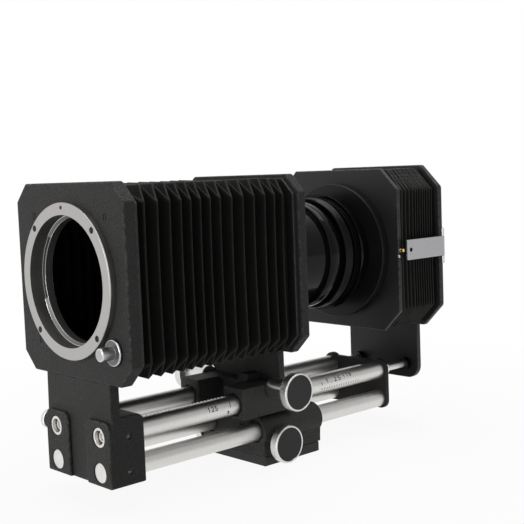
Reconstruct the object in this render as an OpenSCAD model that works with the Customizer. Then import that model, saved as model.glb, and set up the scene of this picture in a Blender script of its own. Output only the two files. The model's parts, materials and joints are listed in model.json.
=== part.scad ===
// Bellows unit for close-up photography, standing on its tripod block.
// Lengths are in millimetres.
// X runs along the rails towards the hood, Y across and Z up.
// The origin is the mouth of the tripod socket in the base.
// Inside the modules x counts from the front plate's face and z from the optical axis.

/* [Standards] */
// Width of the front and middle plates
plate_w = 92; // [91:0.5:93]
// Height of the front and middle plates
plate_h = 93; // [92:0.5:94]
// Leg of the cut corners of both plates
plate_cut = 9; // [8:0.5:10]
// Thickness of the front plate
front_t = 6.8; // [6.6:0.1:7]
// Thickness of the middle plate
mid_t = 5.5; // [5.2:0.1:6]
// Width of the necks and of the hood's leg
neck_w = 54.6; // [54:0.2:55]
// Middle plate's distance behind the front plate's face
mid_x = 107.5; // [106:0.5:109]

/* [Front ring] */
// Outer radius of the bayonet ring
ring_r = 37.4; // [37:0.1:37.6]
// Throat radius of the bayonet ring
throat_r = 31.5; // [31.3:0.1:31.7]
// Throat radius of the lip behind it
lip_r = 30; // [29.6:0.1:30.4]
// Depth of the bayonet ring's bore below the plate's face
lip_x = 3.2; // [3:0.1:3.6]
// How far the ring stands out of the plate
ring_out = 3.2; // [2.8:0.1:3.4]

/* [Rails] */
// Diameter of the four rods
rod_d = 10; // [9.9:0.05:10]
// Centre distance of the rods across the unit
rod_span = 36.9; // [36.8:0.1:37]
// Depth of the upper tubes below the optical axis
upper_drop = 72.2; // [72:0.1:72.4]
// Depth of the lower rods below the optical axis
lower_drop = 89.1; // [89:0.1:89.3]
// Bore of the upper tubes
tube_bore = 5.6; // [5.5:0.05:5.7]
// End plate's distance behind the front plate's face
end_x = 196.6; // [196:0.2:197]
// Thickness of the end plate
end_t = 2.6; // [2.4:0.1:3]

/* [Tripod block] */
// Height of the optical axis above the base
axis_h = 107.2; // [107:0.1:107.5]
// Tripod socket's distance behind the front plate's face
socket_x = 118; // [117.5:0.5:118.5]
// Length of the block along the rails
block_l = 43; // [42:0.5:44]
// Major radius of the tripod thread
socket_r = 4.76; // [4.7:0.02:4.8]

/* [Drive] */
// Module of the racks and pinions
gear_m = 0.75; // [0.75]
// Teeth of each pinion
gear_teeth = 12; // [12]
// Radius of the knobs
knob_r = 10; // [9.6:0.1:10.2]
// Length of the knobs' heads
knob_l = 5; // [4.5:0.1:5.2]

/* [Hood] */
// Hood's rear plate, distance behind the front plate's face
hood_x = 185.6; // [185:0.2:186.5]
// Hood's outer frame, distance behind the front plate's face
frame_x = 220.4; // [220:0.2:221]
// Bore of the hood's collar
collar_bore = 51; // [50:0.5:52]
// Diameter of the hood's thin rods
hood_rod_d = 4; // [3.8:0.1:4.2]

/* [Hidden] */
$fn = 64;

// Rods and their places
rod_r = rod_d / 2;
rod_y = rod_span / 2;
upper_z = -upper_drop;
lower_z = -lower_drop;
tube_r = tube_bore / 2;
thin_r = hood_rod_d / 2;
slip = 0.04;
bush_r = 6;
bush_l = 12;
bush_recess = 2;
relief_r = 5.6;

// Foot of the front standard, counted from the plate's face
pad_x = -1.3;
neck_x = 0.5;
foot_x = 18.9;
foot_half = neck_w / 2;
pad_gap = 7.5;
foot_low = -95.6;
foot_high = -62.5;
pad_high = -64.3;
neck_t = 5.4;

// Carriage of the middle standard
car_x = 82.7;
car_end = 120;
car_half = 26;
car_low = -79.6;
car_high = -63;
car_web = -67.5;
car_inner = 10.5;

// Tripod block
block_x = 96.8;
block_end = block_x + block_l;
block_bush_l = 8.4;
block_half = 25;
block_boss_r = 8.4;
block_web = -83.5;
shoe_top = -102;
socket_l = 8.8;
socket_bush_r = 7;

// Drive: each pinion runs on the rack between the rods
pitch_r = gear_m * gear_teeth / 2;
tooth_pitch = PI * gear_m;
gear_angle = 25;
tip_h = 0.8 * gear_m;
root_h = 0.95 * gear_m;
backlash = 0.08;
shaft_r = 1.25;
shaft_gap = 0.35;
upper_shaft_x = 104;
upper_shaft_z = upper_z + rod_r + shaft_gap + shaft_r;
lower_shaft_x = 107.2;
lower_shaft_z = lower_z - rod_r - shaft_gap - shaft_r;
rack_y0 = -11.2;
rack_y1 = -7.2;
rack_depth = 3.6;
rack_x0 = foot_x - 3;
rack_x1 = end_x + 1;
pinion_room_r = 5.6;
room_y0 = rack_y0 - 0.4;
room_y1 = rack_y1 + 0.4;
block_hub_r = 4;
mid_hub_r = 5.6;
disc_r = knob_r - 1.1;
disc_t = 1.2;
mid_knob_back = 41;
block_knob_back = 29;
mid_hub_y = car_half + 0.2;
block_hub_y = 27.1;
shaft_bush_r = 2.4;

// Screws and small parts of the front standard
ring_screw_r = 35;
plate_screw_y = 30.5;
button_y = -33.8;
button_z = -30.6;
sleeve_r = 4.2;
button_r = 3.15;
button_bore = 3.2;
cup_x = 7.8;
lock_x = 5;
grub_x = 10;
lock_r = 1.5;

// Bellows: half size at the ridges, depth of the folds and thickness of the wall
frame_t = 2;
main_half = 44.6;
main_depth = 6;
main_ridges = 15;
main_ridge_x = 12.7;
main_pitch = 6.58;
main_sway = 1.29;
main_sway_period = 9;
wall = 2;
hood_plate_t = 2.5;
hood_frame_t = 3.2;
hood_lift = 0.85;
hood_half = 46;
hood_depth = 4.5;
hood_ridges = 13;
hood_cut = 12.1;

// Collar of the hood
bore_r = collar_bore / 2;
collar_core = 28.5;
collar_x = 127;
collar_step = 147.5;
disc_x = 180.5;
flange_r = 39;

// Strap
hinge_x = 222;
hinge_y = -49.3;
hinge_r = 1;
pin_r = 0.5;
strap_low = -4.7;
strap_high = 6.7;
strap_end = 189;
strap_hole_x = 192.4;
strap_mid = (strap_low + strap_high) / 2;
strap_t = 1;
stud_x = hood_x + hood_plate_t / 2;

// Places the unit's own frame in the part's frame
module placed() {
    translate([-socket_x, 0, axis_h]) children();
}

// A section drawn as (y, z), carried along X
module along_x(x0, x1) {
    translate([x0, 0, 0]) rotate([90, 0, 90]) linear_extrude(x1 - x0) children();
}

// A section drawn as (x, z), carried along Y
module along_y(y0, y1) {
    translate([0, y1, 0]) rotate([90, 0, 0]) linear_extrude(y1 - y0) children();
}

module rod_x(r, x0, x1, y, z) {
    translate([x0, y, z]) rotate([0, 90, 0]) cylinder(r = r, h = x1 - x0);
}

module rod_y(r, y0, y1, x, z) {
    translate([x, y0, z]) rotate([-90, 0, 0]) cylinder(r = r, h = y1 - y0);
}

module rod_z(r, z0, z1, x, y) {
    translate([x, y, z0]) cylinder(r = r, h = z1 - z0);
}

// A turned piece on an axis along X: its profile is drawn as (radius, x)
module turned_x(y, z) {
    translate([0, y, z]) rotate([0, 90, 0]) rotate_extrude() children();
}

// Rectangle with its four corners cut at 45 degrees
module octagon(w, h, cut, lift = 0) {
    x = w / 2;
    y = h / 2;
    translate([0, lift])
        polygon([[x - cut, y], [x, y - cut], [x, cut - y], [x - cut, -y],
                 [cut - x, -y], [-x, cut - y], [-x, y - cut], [cut - x, y]]);
}

// Rectangle from one corner to the other, with round corners
module soft_rect(low, high, r) {
    size = high - low;
    translate(low + [r, 0]) square([size[0] - 2 * r, size[1]]);
    translate(low + [0, r]) square([size[0], size[1] - 2 * r]);
    for (u = [low[0] + r, high[0] - r], v = [low[1] + r, high[1] - r])
        translate([u, v]) circle(r = r);
}

module rect(low, high) {
    translate(low) square(high - low);
}

// Copies for the near and the far side
module both_sides() {
    children();
    mirror([0, 1, 0]) children();
}

// The same for a section drawn as (y, z)
module both_halves() {
    children();
    mirror([1, 0]) children();
}

// A rod along X with small chamfers, hollow where bore_radius is not zero
module chamfered_rod(r, bore_radius, x0, x1, y, z) {
    chamfer = 0.35;
    turned_x(y, z)
        polygon([[bore_radius, x0], [r - chamfer, x0], [r, x0 + chamfer],
                 [r, x1 - chamfer], [r - chamfer, x1], [bore_radius, x1]]);
}

// Slotted screw along X with its head at x0, its shank going towards +X
module slotted_screw(x0, y, z, head_r, head_h, shank_r, shank_l) {
    slot_w = head_r * 0.3;
    difference() {
        union() {
            rod_x(head_r, x0, x0 + head_h, y, z);
            rod_x(shank_r, x0 + head_h, x0 + head_h + shank_l, y, z);
        }
        translate([x0 - 1, y - slot_w / 2, z - head_r - 1]) cube([1.4, slot_w, 2 * head_r + 2]);
    }
}

// Involute half angle of a pinion tooth at radius r, in degrees
function involute(a) = tan(a) * 180 / PI - a;
base_r = pitch_r * cos(gear_angle);
half_tooth = (tooth_pitch - backlash) / 4 / pitch_r * 180 / PI;
function flank_angle(r) = half_tooth + involute(gear_angle) - involute(acos(min(1, base_r / r)));
flank_steps = 5;
function flank_radius(i) = base_r + (pitch_r + tip_h - base_r) * i / flank_steps;
function polar(r, a) = [r * cos(a), r * sin(a)];
function tooth(a) = concat(
    [polar(pitch_r - root_h, a - flank_angle(base_r))],
    [for (i = [0:flank_steps]) polar(flank_radius(i), a - flank_angle(flank_radius(i)))],
    [for (i = [flank_steps:-1:0]) polar(flank_radius(i), a + flank_angle(flank_radius(i)))],
    [polar(pitch_r - root_h, a + flank_angle(base_r))]);

module pinion_outline() {
    polygon([for (i = [0:gear_teeth - 1]) each tooth(i * 360 / gear_teeth + 90)]);
}

// Rack with its teeth towards +v, drawn as (x, v) from its pitch line
module rack_outline(phase_x) {
    half = (tooth_pitch - backlash) / 4;
    slope = tan(gear_angle);
    first = ceil((foot_x + 1 - phase_x) / tooth_pitch);
    last = floor((end_x - 1 - phase_x) / tooth_pitch) - 1;
    teeth = [for (i = [first:last])
        let (c = phase_x + (i + 0.5) * tooth_pitch)
        each [[c - half - root_h * slope, -root_h], [c - half + tip_h * slope, tip_h],
              [c + half - tip_h * slope, tip_h], [c + half + root_h * slope, -root_h]]];
    polygon(concat([[rack_x0, -rack_depth], [rack_x0, -root_h]], teeth,
                   [[rack_x1, -root_h], [rack_x1, -rack_depth]]));
}

module pinion_shaft(x, z, reach) {
    translate([x, 0, z]) along_y(rack_y0, rack_y1) pinion_outline();
    rod_y(shaft_r, -reach, reach, x, z);
}

// Knob on the far side: hub, head with a recess for the disc, and its bore
module knob(x, z, hub_r, hub_y, back_y) {
    face_y = back_y + knob_l;
    difference() {
        union() {
            rod_y(hub_r, hub_y, back_y + 1, x, z);
            rod_y(knob_r, back_y, face_y, x, z);
        }
        rod_y(shaft_r, hub_y - 1, back_y + 2, x, z);
        rod_y(disc_r, face_y - disc_t, face_y + 1, x, z);
    }
}

module knob_disc(x, z, back_y) {
    face_y = back_y + knob_l;
    rod_y(disc_r, face_y - disc_t, face_y - 0.15, x, z);
}

// Corner of an octagon taken in by inset on all sides: on a side face, and on the top or bottom face
function side_corner(half_w, half_h, cut, inset) = [half_w - inset, half_h - cut - inset * (sqrt(2) - 1)];
function flat_corner(half_w, half_h, cut, inset) = [half_w - cut - inset * (sqrt(2) - 1), half_h - inset];

// Eight corners at station x. The side faces and the flat faces fold against each other,
// so each has its own inset
function bellows_ring(x, half_w, half_h, cut, side_inset, flat_inset, lift) =
    let (s = side_corner(half_w, half_h, cut, side_inset), f = flat_corner(half_w, half_h, cut, flat_inset))
    [[x, f[0], lift + f[1]], [x, s[0], lift + s[1]], [x, s[0], lift - s[1]], [x, f[0], lift - f[1]],
     [x, -f[0], lift - f[1]], [x, -s[0], lift - s[1]], [x, -s[0], lift + s[1]], [x, -f[0], lift + f[1]]];

// The cut corners fold along lines that run from each side ridge to the flat faces' ridges beside it
function straight_fold(k, i) = i % 2 == 1 || (k + i / 2) % 2 == 0;

// Pleated tube: stations are [x, inset of the sides, inset of the flat faces]
module bellows(stations, half_w, half_h, cut, lift = 0) {
    n = len(stations);
    outer = [for (s = stations) each bellows_ring(s[0], half_w, half_h, cut, s[1], s[2], lift)];
    inner = [for (s = stations)
        each bellows_ring(s[0], half_w, half_h, cut, s[1] + wall, s[2] + wall, lift)];
    shift = 8 * n;
    skin = [for (k = [0:n - 2], i = [0:7])
        let (a = 8 * k + i, b = 8 * k + (i + 1) % 8, c = a + 8, d = b + 8)
        each straight_fold(k, i)
            ? [[a, c, d], [a, d, b], [a + shift, d + shift, c + shift], [a + shift, b + shift, d + shift]]
            : [[a, c, b], [b, c, d], [a + shift, b + shift, c + shift], [b + shift, d + shift, c + shift]]];
    ends = [for (i = [0:7])
        let (j = (i + 1) % 8, e = 8 * (n - 1))
        each [[i, j, i + shift], [j, j + shift, i + shift],
              [e + i, e + i + shift, e + j], [e + j, e + i + shift, e + j + shift]]];
    polyhedron(concat(outer, inner), concat(skin, ends));
}

// Side ridges at the given places, flat ridges halfway between them, and a valley all round at each end
function pleats(x0, ridges, x1, depth) = concat(
    [[x0, depth, depth]],
    [for (i = [0:len(ridges) - 1])
        each [if (i > 0) [(ridges[i - 1] + ridges[i]) / 2, depth, 0], [ridges[i], 0, depth]]],
    [[x1, depth, depth]]);

/* ---- tripod block ---- */

module tripod_block() {
    color("dimgray") placed() difference() {
        union() {
            along_x(block_x, block_end) {
                rect([-block_half, shoe_top], [block_half, lower_z]);
                rect([-rod_y, lower_z], [rod_y, block_web]);
                for (side = [-1, 1]) translate([side * rod_y, lower_z]) circle(r = block_boss_r);
            }
        }
        for (side = [-1, 1]) {
            rod_x(relief_r, block_x - 1, block_end + 1, side * rod_y, lower_z);
            rod_x(bush_r, block_x - 1, block_x + block_bush_l, side * rod_y, lower_z);
            rod_x(bush_r, block_end - bush_l, block_end + 1, side * rod_y, lower_z);
        }
        // room for the rack and the pinion, and the shaft's way through
        along_x(block_x - 1, block_end + 1)
            rect([room_y0, lower_shaft_z + pitch_r - tip_h - 0.6],
                 [room_y1, lower_shaft_z + pitch_r + rack_depth + 0.8]);
        rod_y(pinion_room_r, room_y0, room_y1, lower_shaft_x, lower_shaft_z);
        rod_y(shaft_r + 0.25, -block_half - 1, block_half + 1, lower_shaft_x, lower_shaft_z);
        rod_y(shaft_bush_r, room_y1, -3, lower_shaft_x, lower_shaft_z);
        rod_y(shaft_bush_r, 5, 10, lower_shaft_x, lower_shaft_z);
        rod_z(socket_bush_r, shoe_top - 1, -axis_h + socket_l, socket_x, 0);
        shoe_screw_places() rod_z(1.2, shoe_top - 1, shoe_top + 5, 0, 0);
    }
}

module shoe_screw_places() {
    for (dx = [-15, 15], dy = [-18, 18])
        translate([socket_x + dx, dy, 0]) children();
}

module tripod_shoe() {
    color("dimgray") placed() difference() {
        translate([97.3, -block_half, -axis_h]) cube([40.7, 2 * block_half, axis_h + shoe_top]);
        rod_z(socket_bush_r, -axis_h - 1, shoe_top + 1, socket_x, 0);
        shoe_screw_places() {
            rod_z(1.2, -axis_h - 1, shoe_top + 1, 0, 0);
            rod_z(2.6, -axis_h - 1, -axis_h + 2.6, 0, 0);
        }
    }
}

module socket_bush() {
    color("silver") placed() difference() {
        rod_z(socket_bush_r, -axis_h, -axis_h + socket_l, socket_x, 0);
        rod_z(socket_r, -axis_h - 1, -axis_h + socket_l + 1, socket_x, 0);
    }
}

module shoe_screws() {
    color("silver") placed() shoe_screw_places() difference() {
        union() {
            rod_z(2.5, -axis_h + 0.6, -axis_h + 2.6, 0, 0);
            rod_z(1.2, -axis_h + 2.6, shoe_top + 5, 0, 0);
        }
        translate([-4, -0.4, -axis_h]) cube([8, 0.8, 1.4]);
    }
}

// Bush between a rod and the bore around it
module rod_bush(x0, x1, y, z) {
    turned_x(y, z) rect([rod_r + slip, x0], [bush_r, x1]);
}

// Bush of a pinion shaft, on an axis along Y
module shaft_bush(y0, y1, x, z) {
    difference() {
        rod_y(shaft_bush_r, y0, y1, x, z);
        rod_y(shaft_r + slip, y0 - 1, y1 + 1, x, z);
    }
}

// Both bushes of a pinion shaft
module shaft_bushes(x, z) {
    shaft_bush(room_y1 + 0.2, -3, x, z);
    shaft_bush(5, 10, x, z);
}

module block_bushes() {
    color("goldenrod") placed() {
        for (side = [-1, 1]) {
            rod_bush(block_x + bush_recess, block_x + block_bush_l, side * rod_y, lower_z);
            rod_bush(block_end - bush_l, block_end - bush_recess, side * rod_y, lower_z);
        }
        shaft_bushes(lower_shaft_x, lower_shaft_z);
    }
}

module block_pinion_shaft() {
    color("silver") placed() pinion_shaft(lower_shaft_x, lower_shaft_z, block_knob_back + 2);
}

module block_knob_far() {
    color("gainsboro") placed()
        knob(lower_shaft_x, lower_shaft_z, block_hub_r, block_hub_y, block_knob_back);
}

module block_knob_near() {
    color("gainsboro") placed() mirror([0, 1, 0])
        knob(lower_shaft_x, lower_shaft_z, block_hub_r, block_hub_y, block_knob_back);
}

module block_knob_discs() {
    color("dimgray") placed() both_sides() knob_disc(lower_shaft_x, lower_shaft_z, block_knob_back);
}

/* ---- front standard and rails ---- */

module pad_outline() {
    soft_rect([pad_gap, foot_low], [foot_half, pad_high], 4);
    rect([pad_gap, foot_low], [foot_half, foot_low + 8]);
}

module front_plate() {
    color("dimgray") placed() difference() {
        along_x(0, front_t) octagon(plate_w, plate_h, plate_cut);
        rod_x(throat_r + 1.5, -1, front_t + 1, 0, 0);
        rod_x(sleeve_r, -1, front_t + 1, button_y, button_z);
        ring_screw_places() rod_x(0.9, -1, 4, 0, 0);
        plate_screw_places() {
            rod_x(1.6, -1, 1, 0, 0);
            rod_x(1, 0, front_t + 1, 0, 0);
        }
    }
}

// Neck and foot under the front plate, with the pads that the rods stand out of
module front_foot() {
    color("dimgray") placed() difference() {
        union() {
            along_x(neck_x, neck_x + neck_t) rect([-neck_w / 2, foot_high - 4], [neck_w / 2, -plate_h / 2]);
            along_x(neck_x, foot_x) rect([-foot_half, foot_low], [foot_half, foot_high - 4]);
            along_x(neck_x, foot_x - 4) rect([-foot_half, foot_high - 5], [foot_half, foot_high]);
            rod_y(4, -foot_half, foot_half, foot_x - 4, foot_high - 4);
            along_x(pad_x, neck_x + 1) both_halves() pad_outline();
        }
        for (side = [-1, 1], z = [upper_z, lower_z]) {
            rod_x(rod_r, pad_x - 1, foot_x + 1, side * rod_y, z);
            rod_y(1.5, min(side * rod_y, side * (foot_half + 1)), max(side * rod_y, side * (foot_half + 1)),
                  grub_x, z);
        }
        rod_y(lock_r + 0.05, rod_y, foot_half + 1, lock_x, upper_z);
        rack_pocket(upper_shaft_z - pitch_r, -1);
        rack_pocket(lower_shaft_z + pitch_r, 1);
    }
}

// Pocket in the foot for the end of a rack, whose body lies on the given side of its pitch line
module rack_pocket(pitch_z, side) {
    z0 = pitch_z + side * root_h;
    z1 = pitch_z + side * rack_depth;
    translate([rack_x0, rack_y0, min(z0, z1)]) cube([10, rack_y1 - rack_y0, abs(z1 - z0)]);
}

module ring_screw_places() {
    for (a = [45:90:315])
        translate([0, ring_screw_r * cos(a), ring_screw_r * sin(a)]) children();
}

// Three corners of the front plate: the release button takes the fourth
module plate_screw_places() {
    for (p = [[1, 1], [-1, 1], [1, -1]])
        translate([0, p[0] * plate_screw_y, p[1] * plate_screw_y]) children();
}

module front_mount_ring() {
    color("silver") placed() difference() {
        turned_x(0, 0)
            polygon([[throat_r, -ring_out], [ring_r - 0.4, -ring_out], [ring_r, 0.4 - ring_out], [ring_r, 0],
                     [throat_r + 1.5, 0], [throat_r + 1.5, lip_x], [throat_r, lip_x]]);
        ring_screw_places() {
            rod_x(1.5, -ring_out - 1, 1.2 - ring_out, 0, 0);
            rod_x(0.9, -ring_out, 1, 0, 0);
        }
        rod_x(0.9, -ring_out - 1, 0.8 - ring_out, 0, ring_screw_r);
    }
}

// Lip at the foot of the bayonet's bore, with two slots for the claws of what is mounted
module claw_ring() {
    slot_angle = 61;
    cone = throat_r - lip_r - 0.3;
    color("gray") placed() difference() {
        turned_x(0, 0)
            polygon([[throat_r, lip_x], [lip_r, lip_x + cone], [lip_r, 8.6], [throat_r + 1.5, 8.6],
                     [throat_r + 1.5, lip_x]]);
        for (a = [10.5, 190.5])
            rotate([a, 0, 0]) along_x(lip_x - 1, lip_x + cone) intersection() {
                circle(r = throat_r + 0.7);
                polygon([[0, 0], polar(60, -slot_angle / 2), polar(60, slot_angle / 2)]);
            }
    }
}

module mount_ring_screws() {
    color("silver") placed() ring_screw_places() slotted_screw(-ring_out - 0.1, 0, 0, 1.5, 1.3, 0.9, 6);
}

module index_dot() {
    color("firebrick") placed() rod_x(0.9, -ring_out - 0.1, 0.8 - ring_out, 0, ring_screw_r);
}

module front_plate_screws() {
    color("gray") placed() plate_screw_places() slotted_screw(-0.15, 0, 0, 1.6, 1.15, 1, 7.6);
}

// Clamping frame of a bellows end, with corners wide enough for the screws
module clamp_frame(x0) {
    difference() {
        along_x(x0, x0 + frame_t) octagon(plate_w - 4, plate_h - 4, plate_cut - 1);
        along_x(x0 - 1, x0 + frame_t + 1) octagon(plate_w - 16, plate_h - 16, 20);
    }
}

module front_bellows_frame() {
    color("dimgray") placed() difference() {
        clamp_frame(front_t);
        rod_x(sleeve_r, front_t - 1, front_t + 3, button_y, button_z);
        plate_screw_places() rod_x(1, front_t - 1, front_t + 3, 0, 0);
    }
}

module upper_tube(side) {
    difference() {
        chamfered_rod(rod_r, tube_r, -0.9, end_x + 1.4, side * rod_y, upper_z);
        rod_x(tube_r + 0.65, -2, 5, side * rod_y, upper_z);
    }
}

module near_upper_tube() {
    color("silver") placed() upper_tube(-1);
}

module far_upper_tube() {
    color("silver") placed() difference() {
        upper_tube(1);
        rod_y(lock_r + 0.1, rod_y, rod_y + rod_r + 1, lock_x, upper_z);
    }
}

module lower_rod(side) {
    difference() {
        chamfered_rod(rod_r, 0, -0.9, end_x + 1.4, side * rod_y, lower_z);
        rod_x(1.5, end_x - 7, end_x + 2, side * rod_y, lower_z);
    }
}

module near_lower_rod() {
    color("silver") placed() lower_rod(-1);
}

module far_lower_rod() {
    color("silver") placed() lower_rod(1);
}

module upper_rack() {
    color("dimgray") placed() translate([0, 0, upper_shaft_z - pitch_r])
        along_y(rack_y0, rack_y1) rack_outline(upper_shaft_x);
}

module lower_rack() {
    color("dimgray") placed() translate([0, 0, lower_shaft_z + pitch_r])
        along_y(rack_y0, rack_y1) mirror([0, 1]) rack_outline(lower_shaft_x);
}

module end_plate() {
    boss_r = 6.4;
    boss_z = -71.8;
    half = rod_y + boss_r;
    color("dimgray") placed() difference() {
        along_x(end_x, end_x + end_t) {
            soft_rect([-half, -94.9], [half, boss_z], 5);
            rect([-half, -85], [half, boss_z]);
            rect([-20, -80], [20, -66.8]);
            for (side = [-1, 1]) translate([side * rod_y, boss_z]) circle(r = boss_r);
        }
        for (side = [-1, 1]) {
            rod_x(rod_r, end_x - 1, end_x + 1.4, side * rod_y, upper_z);
            rod_x(rod_r, end_x - 1, end_x + 1.4, side * rod_y, lower_z);
            rod_x(tube_r, end_x, end_x + end_t + 1, side * rod_y, upper_z);
            rod_x(1.5, end_x, end_x + end_t + 1, side * rod_y, lower_z);
        }
        for (z = [upper_shaft_z - pitch_r - rack_depth, lower_shaft_z + pitch_r + root_h])
            translate([end_x - 1, rack_y0, z]) cube([2, rack_y1 - rack_y0, rack_depth - root_h]);
    }
}

module rod_guide_bushes() {
    color("silver") placed() for (side = [-1, 1])
        turned_x(side * rod_y, upper_z)
            polygon([[thin_r + slip, end_x - 8], [tube_r, end_x - 8], [tube_r, end_x + end_t],
                     [3.8, end_x + end_t], [3.8, end_x + end_t + 4],
                     [thin_r + slip, end_x + end_t + 4]]);
}

module end_plate_screws() {
    color("gray") placed() for (side = [-1, 1]) difference() {
        union() {
            rod_x(3, end_x + end_t, end_x + end_t + 1.6, side * rod_y, lower_z);
            rod_x(1.5, end_x - 6, end_x + end_t, side * rod_y, lower_z);
        }
        translate([end_x + end_t + 0.9, side * rod_y - 0.4, lower_z - 4]) cube([2, 0.8, 8]);
    }
}

module foot_grub_screws() {
    color("gray") placed() both_sides() for (z = [upper_z, lower_z]) difference() {
        rod_y(1.5, rod_y + rod_r, foot_half - 0.5, grub_x, z);
        translate([grub_x - 2, foot_half - 1.2, z - 0.25]) cube([4, 2, 0.5]);
    }
}

module button_sleeve() {
    color("silver") placed() turned_x(button_y, button_z)
        polygon([[button_bore, -1.6], [5.9, -1.6], [6.25, -1.2], [6.25, 0], [sleeve_r, 0],
                 [sleeve_r, cup_x + 0.8], [1.25, cup_x + 0.8], [1.25, cup_x], [button_bore, cup_x]]);
}

module release_button() {
    color("gainsboro") placed() turned_x(button_y, button_z)
        polygon([[0, -8.5], [2.75, -8.5], [button_r, -8.1], [button_r, 1.5], [1.2, 1.5], [1.2, 8.75],
                 [2, 8.75], [2, 9.5], [0, 9.5]]);
}

// Spring of the release button: one wire wound along X
spring_r = 2.2;
wire_r = 0.3;
spring_turns = 5;
spring_x0 = 1.55 + wire_r;
spring_x1 = cup_x - wire_r;
ring_steps = 8;
function spring_point(turn) =
    [spring_x0 + (spring_x1 - spring_x0) * turn / spring_turns, spring_r * cos(360 * turn),
     spring_r * sin(360 * turn)];
function spring_ring(turn) =
    [for (i = [0:5])
        let (r = spring_r + wire_r * cos(60 * i))
        [spring_point(turn)[0] + wire_r * sin(60 * i), r * cos(360 * turn), r * sin(360 * turn)]];
echo(button_spring_gap = (spring_x1 - spring_x0) / spring_turns - 2 * wire_r);

module button_spring() {
    rings = spring_turns * ring_steps;
    points = [for (k = [0:rings]) each spring_ring(k / ring_steps)];
    sides = [for (k = [0:rings - 1], i = [0:5])
        let (a = 6 * k + i, b = 6 * k + (i + 1) % 6)
        each [[a, b, a + 6], [b, b + 6, a + 6]]];
    caps = [for (i = [1:4]) each [[0, i + 1, i], [6 * rings, 6 * rings + i, 6 * rings + i + 1]]];
    color("silver") placed() translate([0, button_y, button_z]) polyhedron(points, concat(sides, caps));
}

module lock_screw() {
    color("dimgray") placed() {
        rod_y(lock_r, rod_y + tube_r + 0.2, foot_half + 0.5, lock_x, upper_z);
        rod_y(4.65, foot_half + 0.4, 32.6, lock_x, upper_z);
    }
}

module lock_screw_rim() {
    color("gainsboro") placed() rod_y(5, 32.6, 35.4, lock_x, upper_z);
}

/* ---- middle standard ---- */

module mid_plate() {
    color("dimgray") placed() difference() {
        along_x(mid_x, mid_x + mid_t) octagon(plate_w, plate_h, plate_cut);
        rod_x(26, mid_x - 1, mid_x + mid_t + 1, 0, 0);
        rear_screw_places() rod_x(1, mid_x - 1, mid_x + mid_t + 1, 0, 0);
    }
}

// Neck under the middle plate and the carriage that runs on the upper tubes
module mid_carriage() {
    hump_x0 = 98;
    hump_top = -59.4;
    color("dimgray") placed() difference() {
        union() {
            along_x(mid_x, mid_x + 4.4) rect([-neck_w / 2, car_high + 0.3], [neck_w / 2, -plate_h / 2]);
            along_x(mid_x, mid_x + 4.4) rect([-car_half, car_web], [car_half, car_high + 1]);
            along_x(car_x, car_end) {
                rect([-car_half, car_low], [-car_inner, car_high]);
                rect([car_inner, car_low], [car_half, car_high]);
            }
            along_x(hump_x0, car_end) rect([-car_inner - 1, car_low], [car_inner + 1, car_web]);
            along_x(hump_x0, mid_x + 2.5) {
                rect([-car_inner - 1, car_web - 1], [car_inner + 1, car_high]);
                rect([room_y0 - 1.2, car_high - 1], [room_y1 + 1.2, hump_top]);
            }
        }
        for (side = [-1, 1]) {
            rod_x(relief_r, car_x - 1, car_end + 1, side * rod_y, upper_z);
            rod_x(bush_r, car_x - 1, car_x + bush_l, side * rod_y, upper_z);
            rod_x(bush_r, car_end - bush_l, car_end + 1, side * rod_y, upper_z);
        }
        along_x(car_x - 1, car_end + 1)
            rect([room_y0, upper_shaft_z - pitch_r - rack_depth - 0.8],
                 [room_y1, upper_shaft_z - pitch_r + tip_h + 0.6]);
        rod_y(pinion_room_r, room_y0, room_y1, upper_shaft_x, upper_shaft_z);
        rod_y(shaft_r + 0.25, -car_half - 1, car_half + 1, upper_shaft_x, upper_shaft_z);
        rod_y(shaft_bush_r, room_y1, -3, upper_shaft_x, upper_shaft_z);
        rod_y(shaft_bush_r, 5, 10, upper_shaft_x, upper_shaft_z);
        // the neck is a little wider than the carriage and clears the knobs' hubs
        both_sides() rod_y(mid_hub_r + 0.5, car_half + 0.05, neck_w, upper_shaft_x, upper_shaft_z);
    }
}

module rear_screw_places() {
    for (dy = [-1, 1], dz = [-1, 1])
        translate([0, dy * plate_screw_y, dz * plate_screw_y]) children();
}

module rear_mount_ring() {
    face = mid_x + mid_t;
    color("silver") placed() turned_x(0, 0)
        polygon([[23, mid_x + 1], [26, mid_x + 1], [26, face], [33, face], [33, face + 1.8],
                 [27.6, face + 1.8], [27.6, face + 3.2], [27.2, face + 3.5], [23, face + 3.5]]);
}

module rear_plate_screws() {
    face = mid_x + mid_t;
    color("gray") placed() rear_screw_places() difference() {
        union() {
            rod_x(1.9, face, face + 0.9, 0, 0);
            rod_x(1, mid_x - frame_t, face, 0, 0);
        }
        translate([face + 0.4, -0.3, -3]) cube([1, 0.6, 6]);
    }
}

module rear_bellows_frame() {
    color("dimgray") placed() difference() {
        clamp_frame(mid_x - frame_t);
        rear_screw_places() rod_x(1, mid_x - frame_t - 1, mid_x + 1, 0, 0);
    }
}

module carriage_bushes() {
    color("goldenrod") placed() {
        for (side = [-1, 1]) {
            rod_bush(car_x + bush_recess, car_x + bush_l, side * rod_y, upper_z);
            rod_bush(car_end - bush_l, car_end - bush_recess, side * rod_y, upper_z);
        }
        shaft_bushes(upper_shaft_x, upper_shaft_z);
    }
}

function main_ridge(i) =
    main_ridge_x + main_pitch * i + main_sway * sin(360 * i / main_sway_period);

module main_bellows() {
    ridges = [for (i = [0:main_ridges - 1]) main_ridge(i)];
    color("darkslategray") placed()
        bellows(pleats(front_t + frame_t, ridges, mid_x - frame_t - 0.3, main_depth),
                main_half, main_half + (plate_h - plate_w) / 2, plate_cut - 0.4);
}

module mid_pinion_shaft() {
    color("silver") placed() pinion_shaft(upper_shaft_x, upper_shaft_z, mid_knob_back + 2);
}

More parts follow.
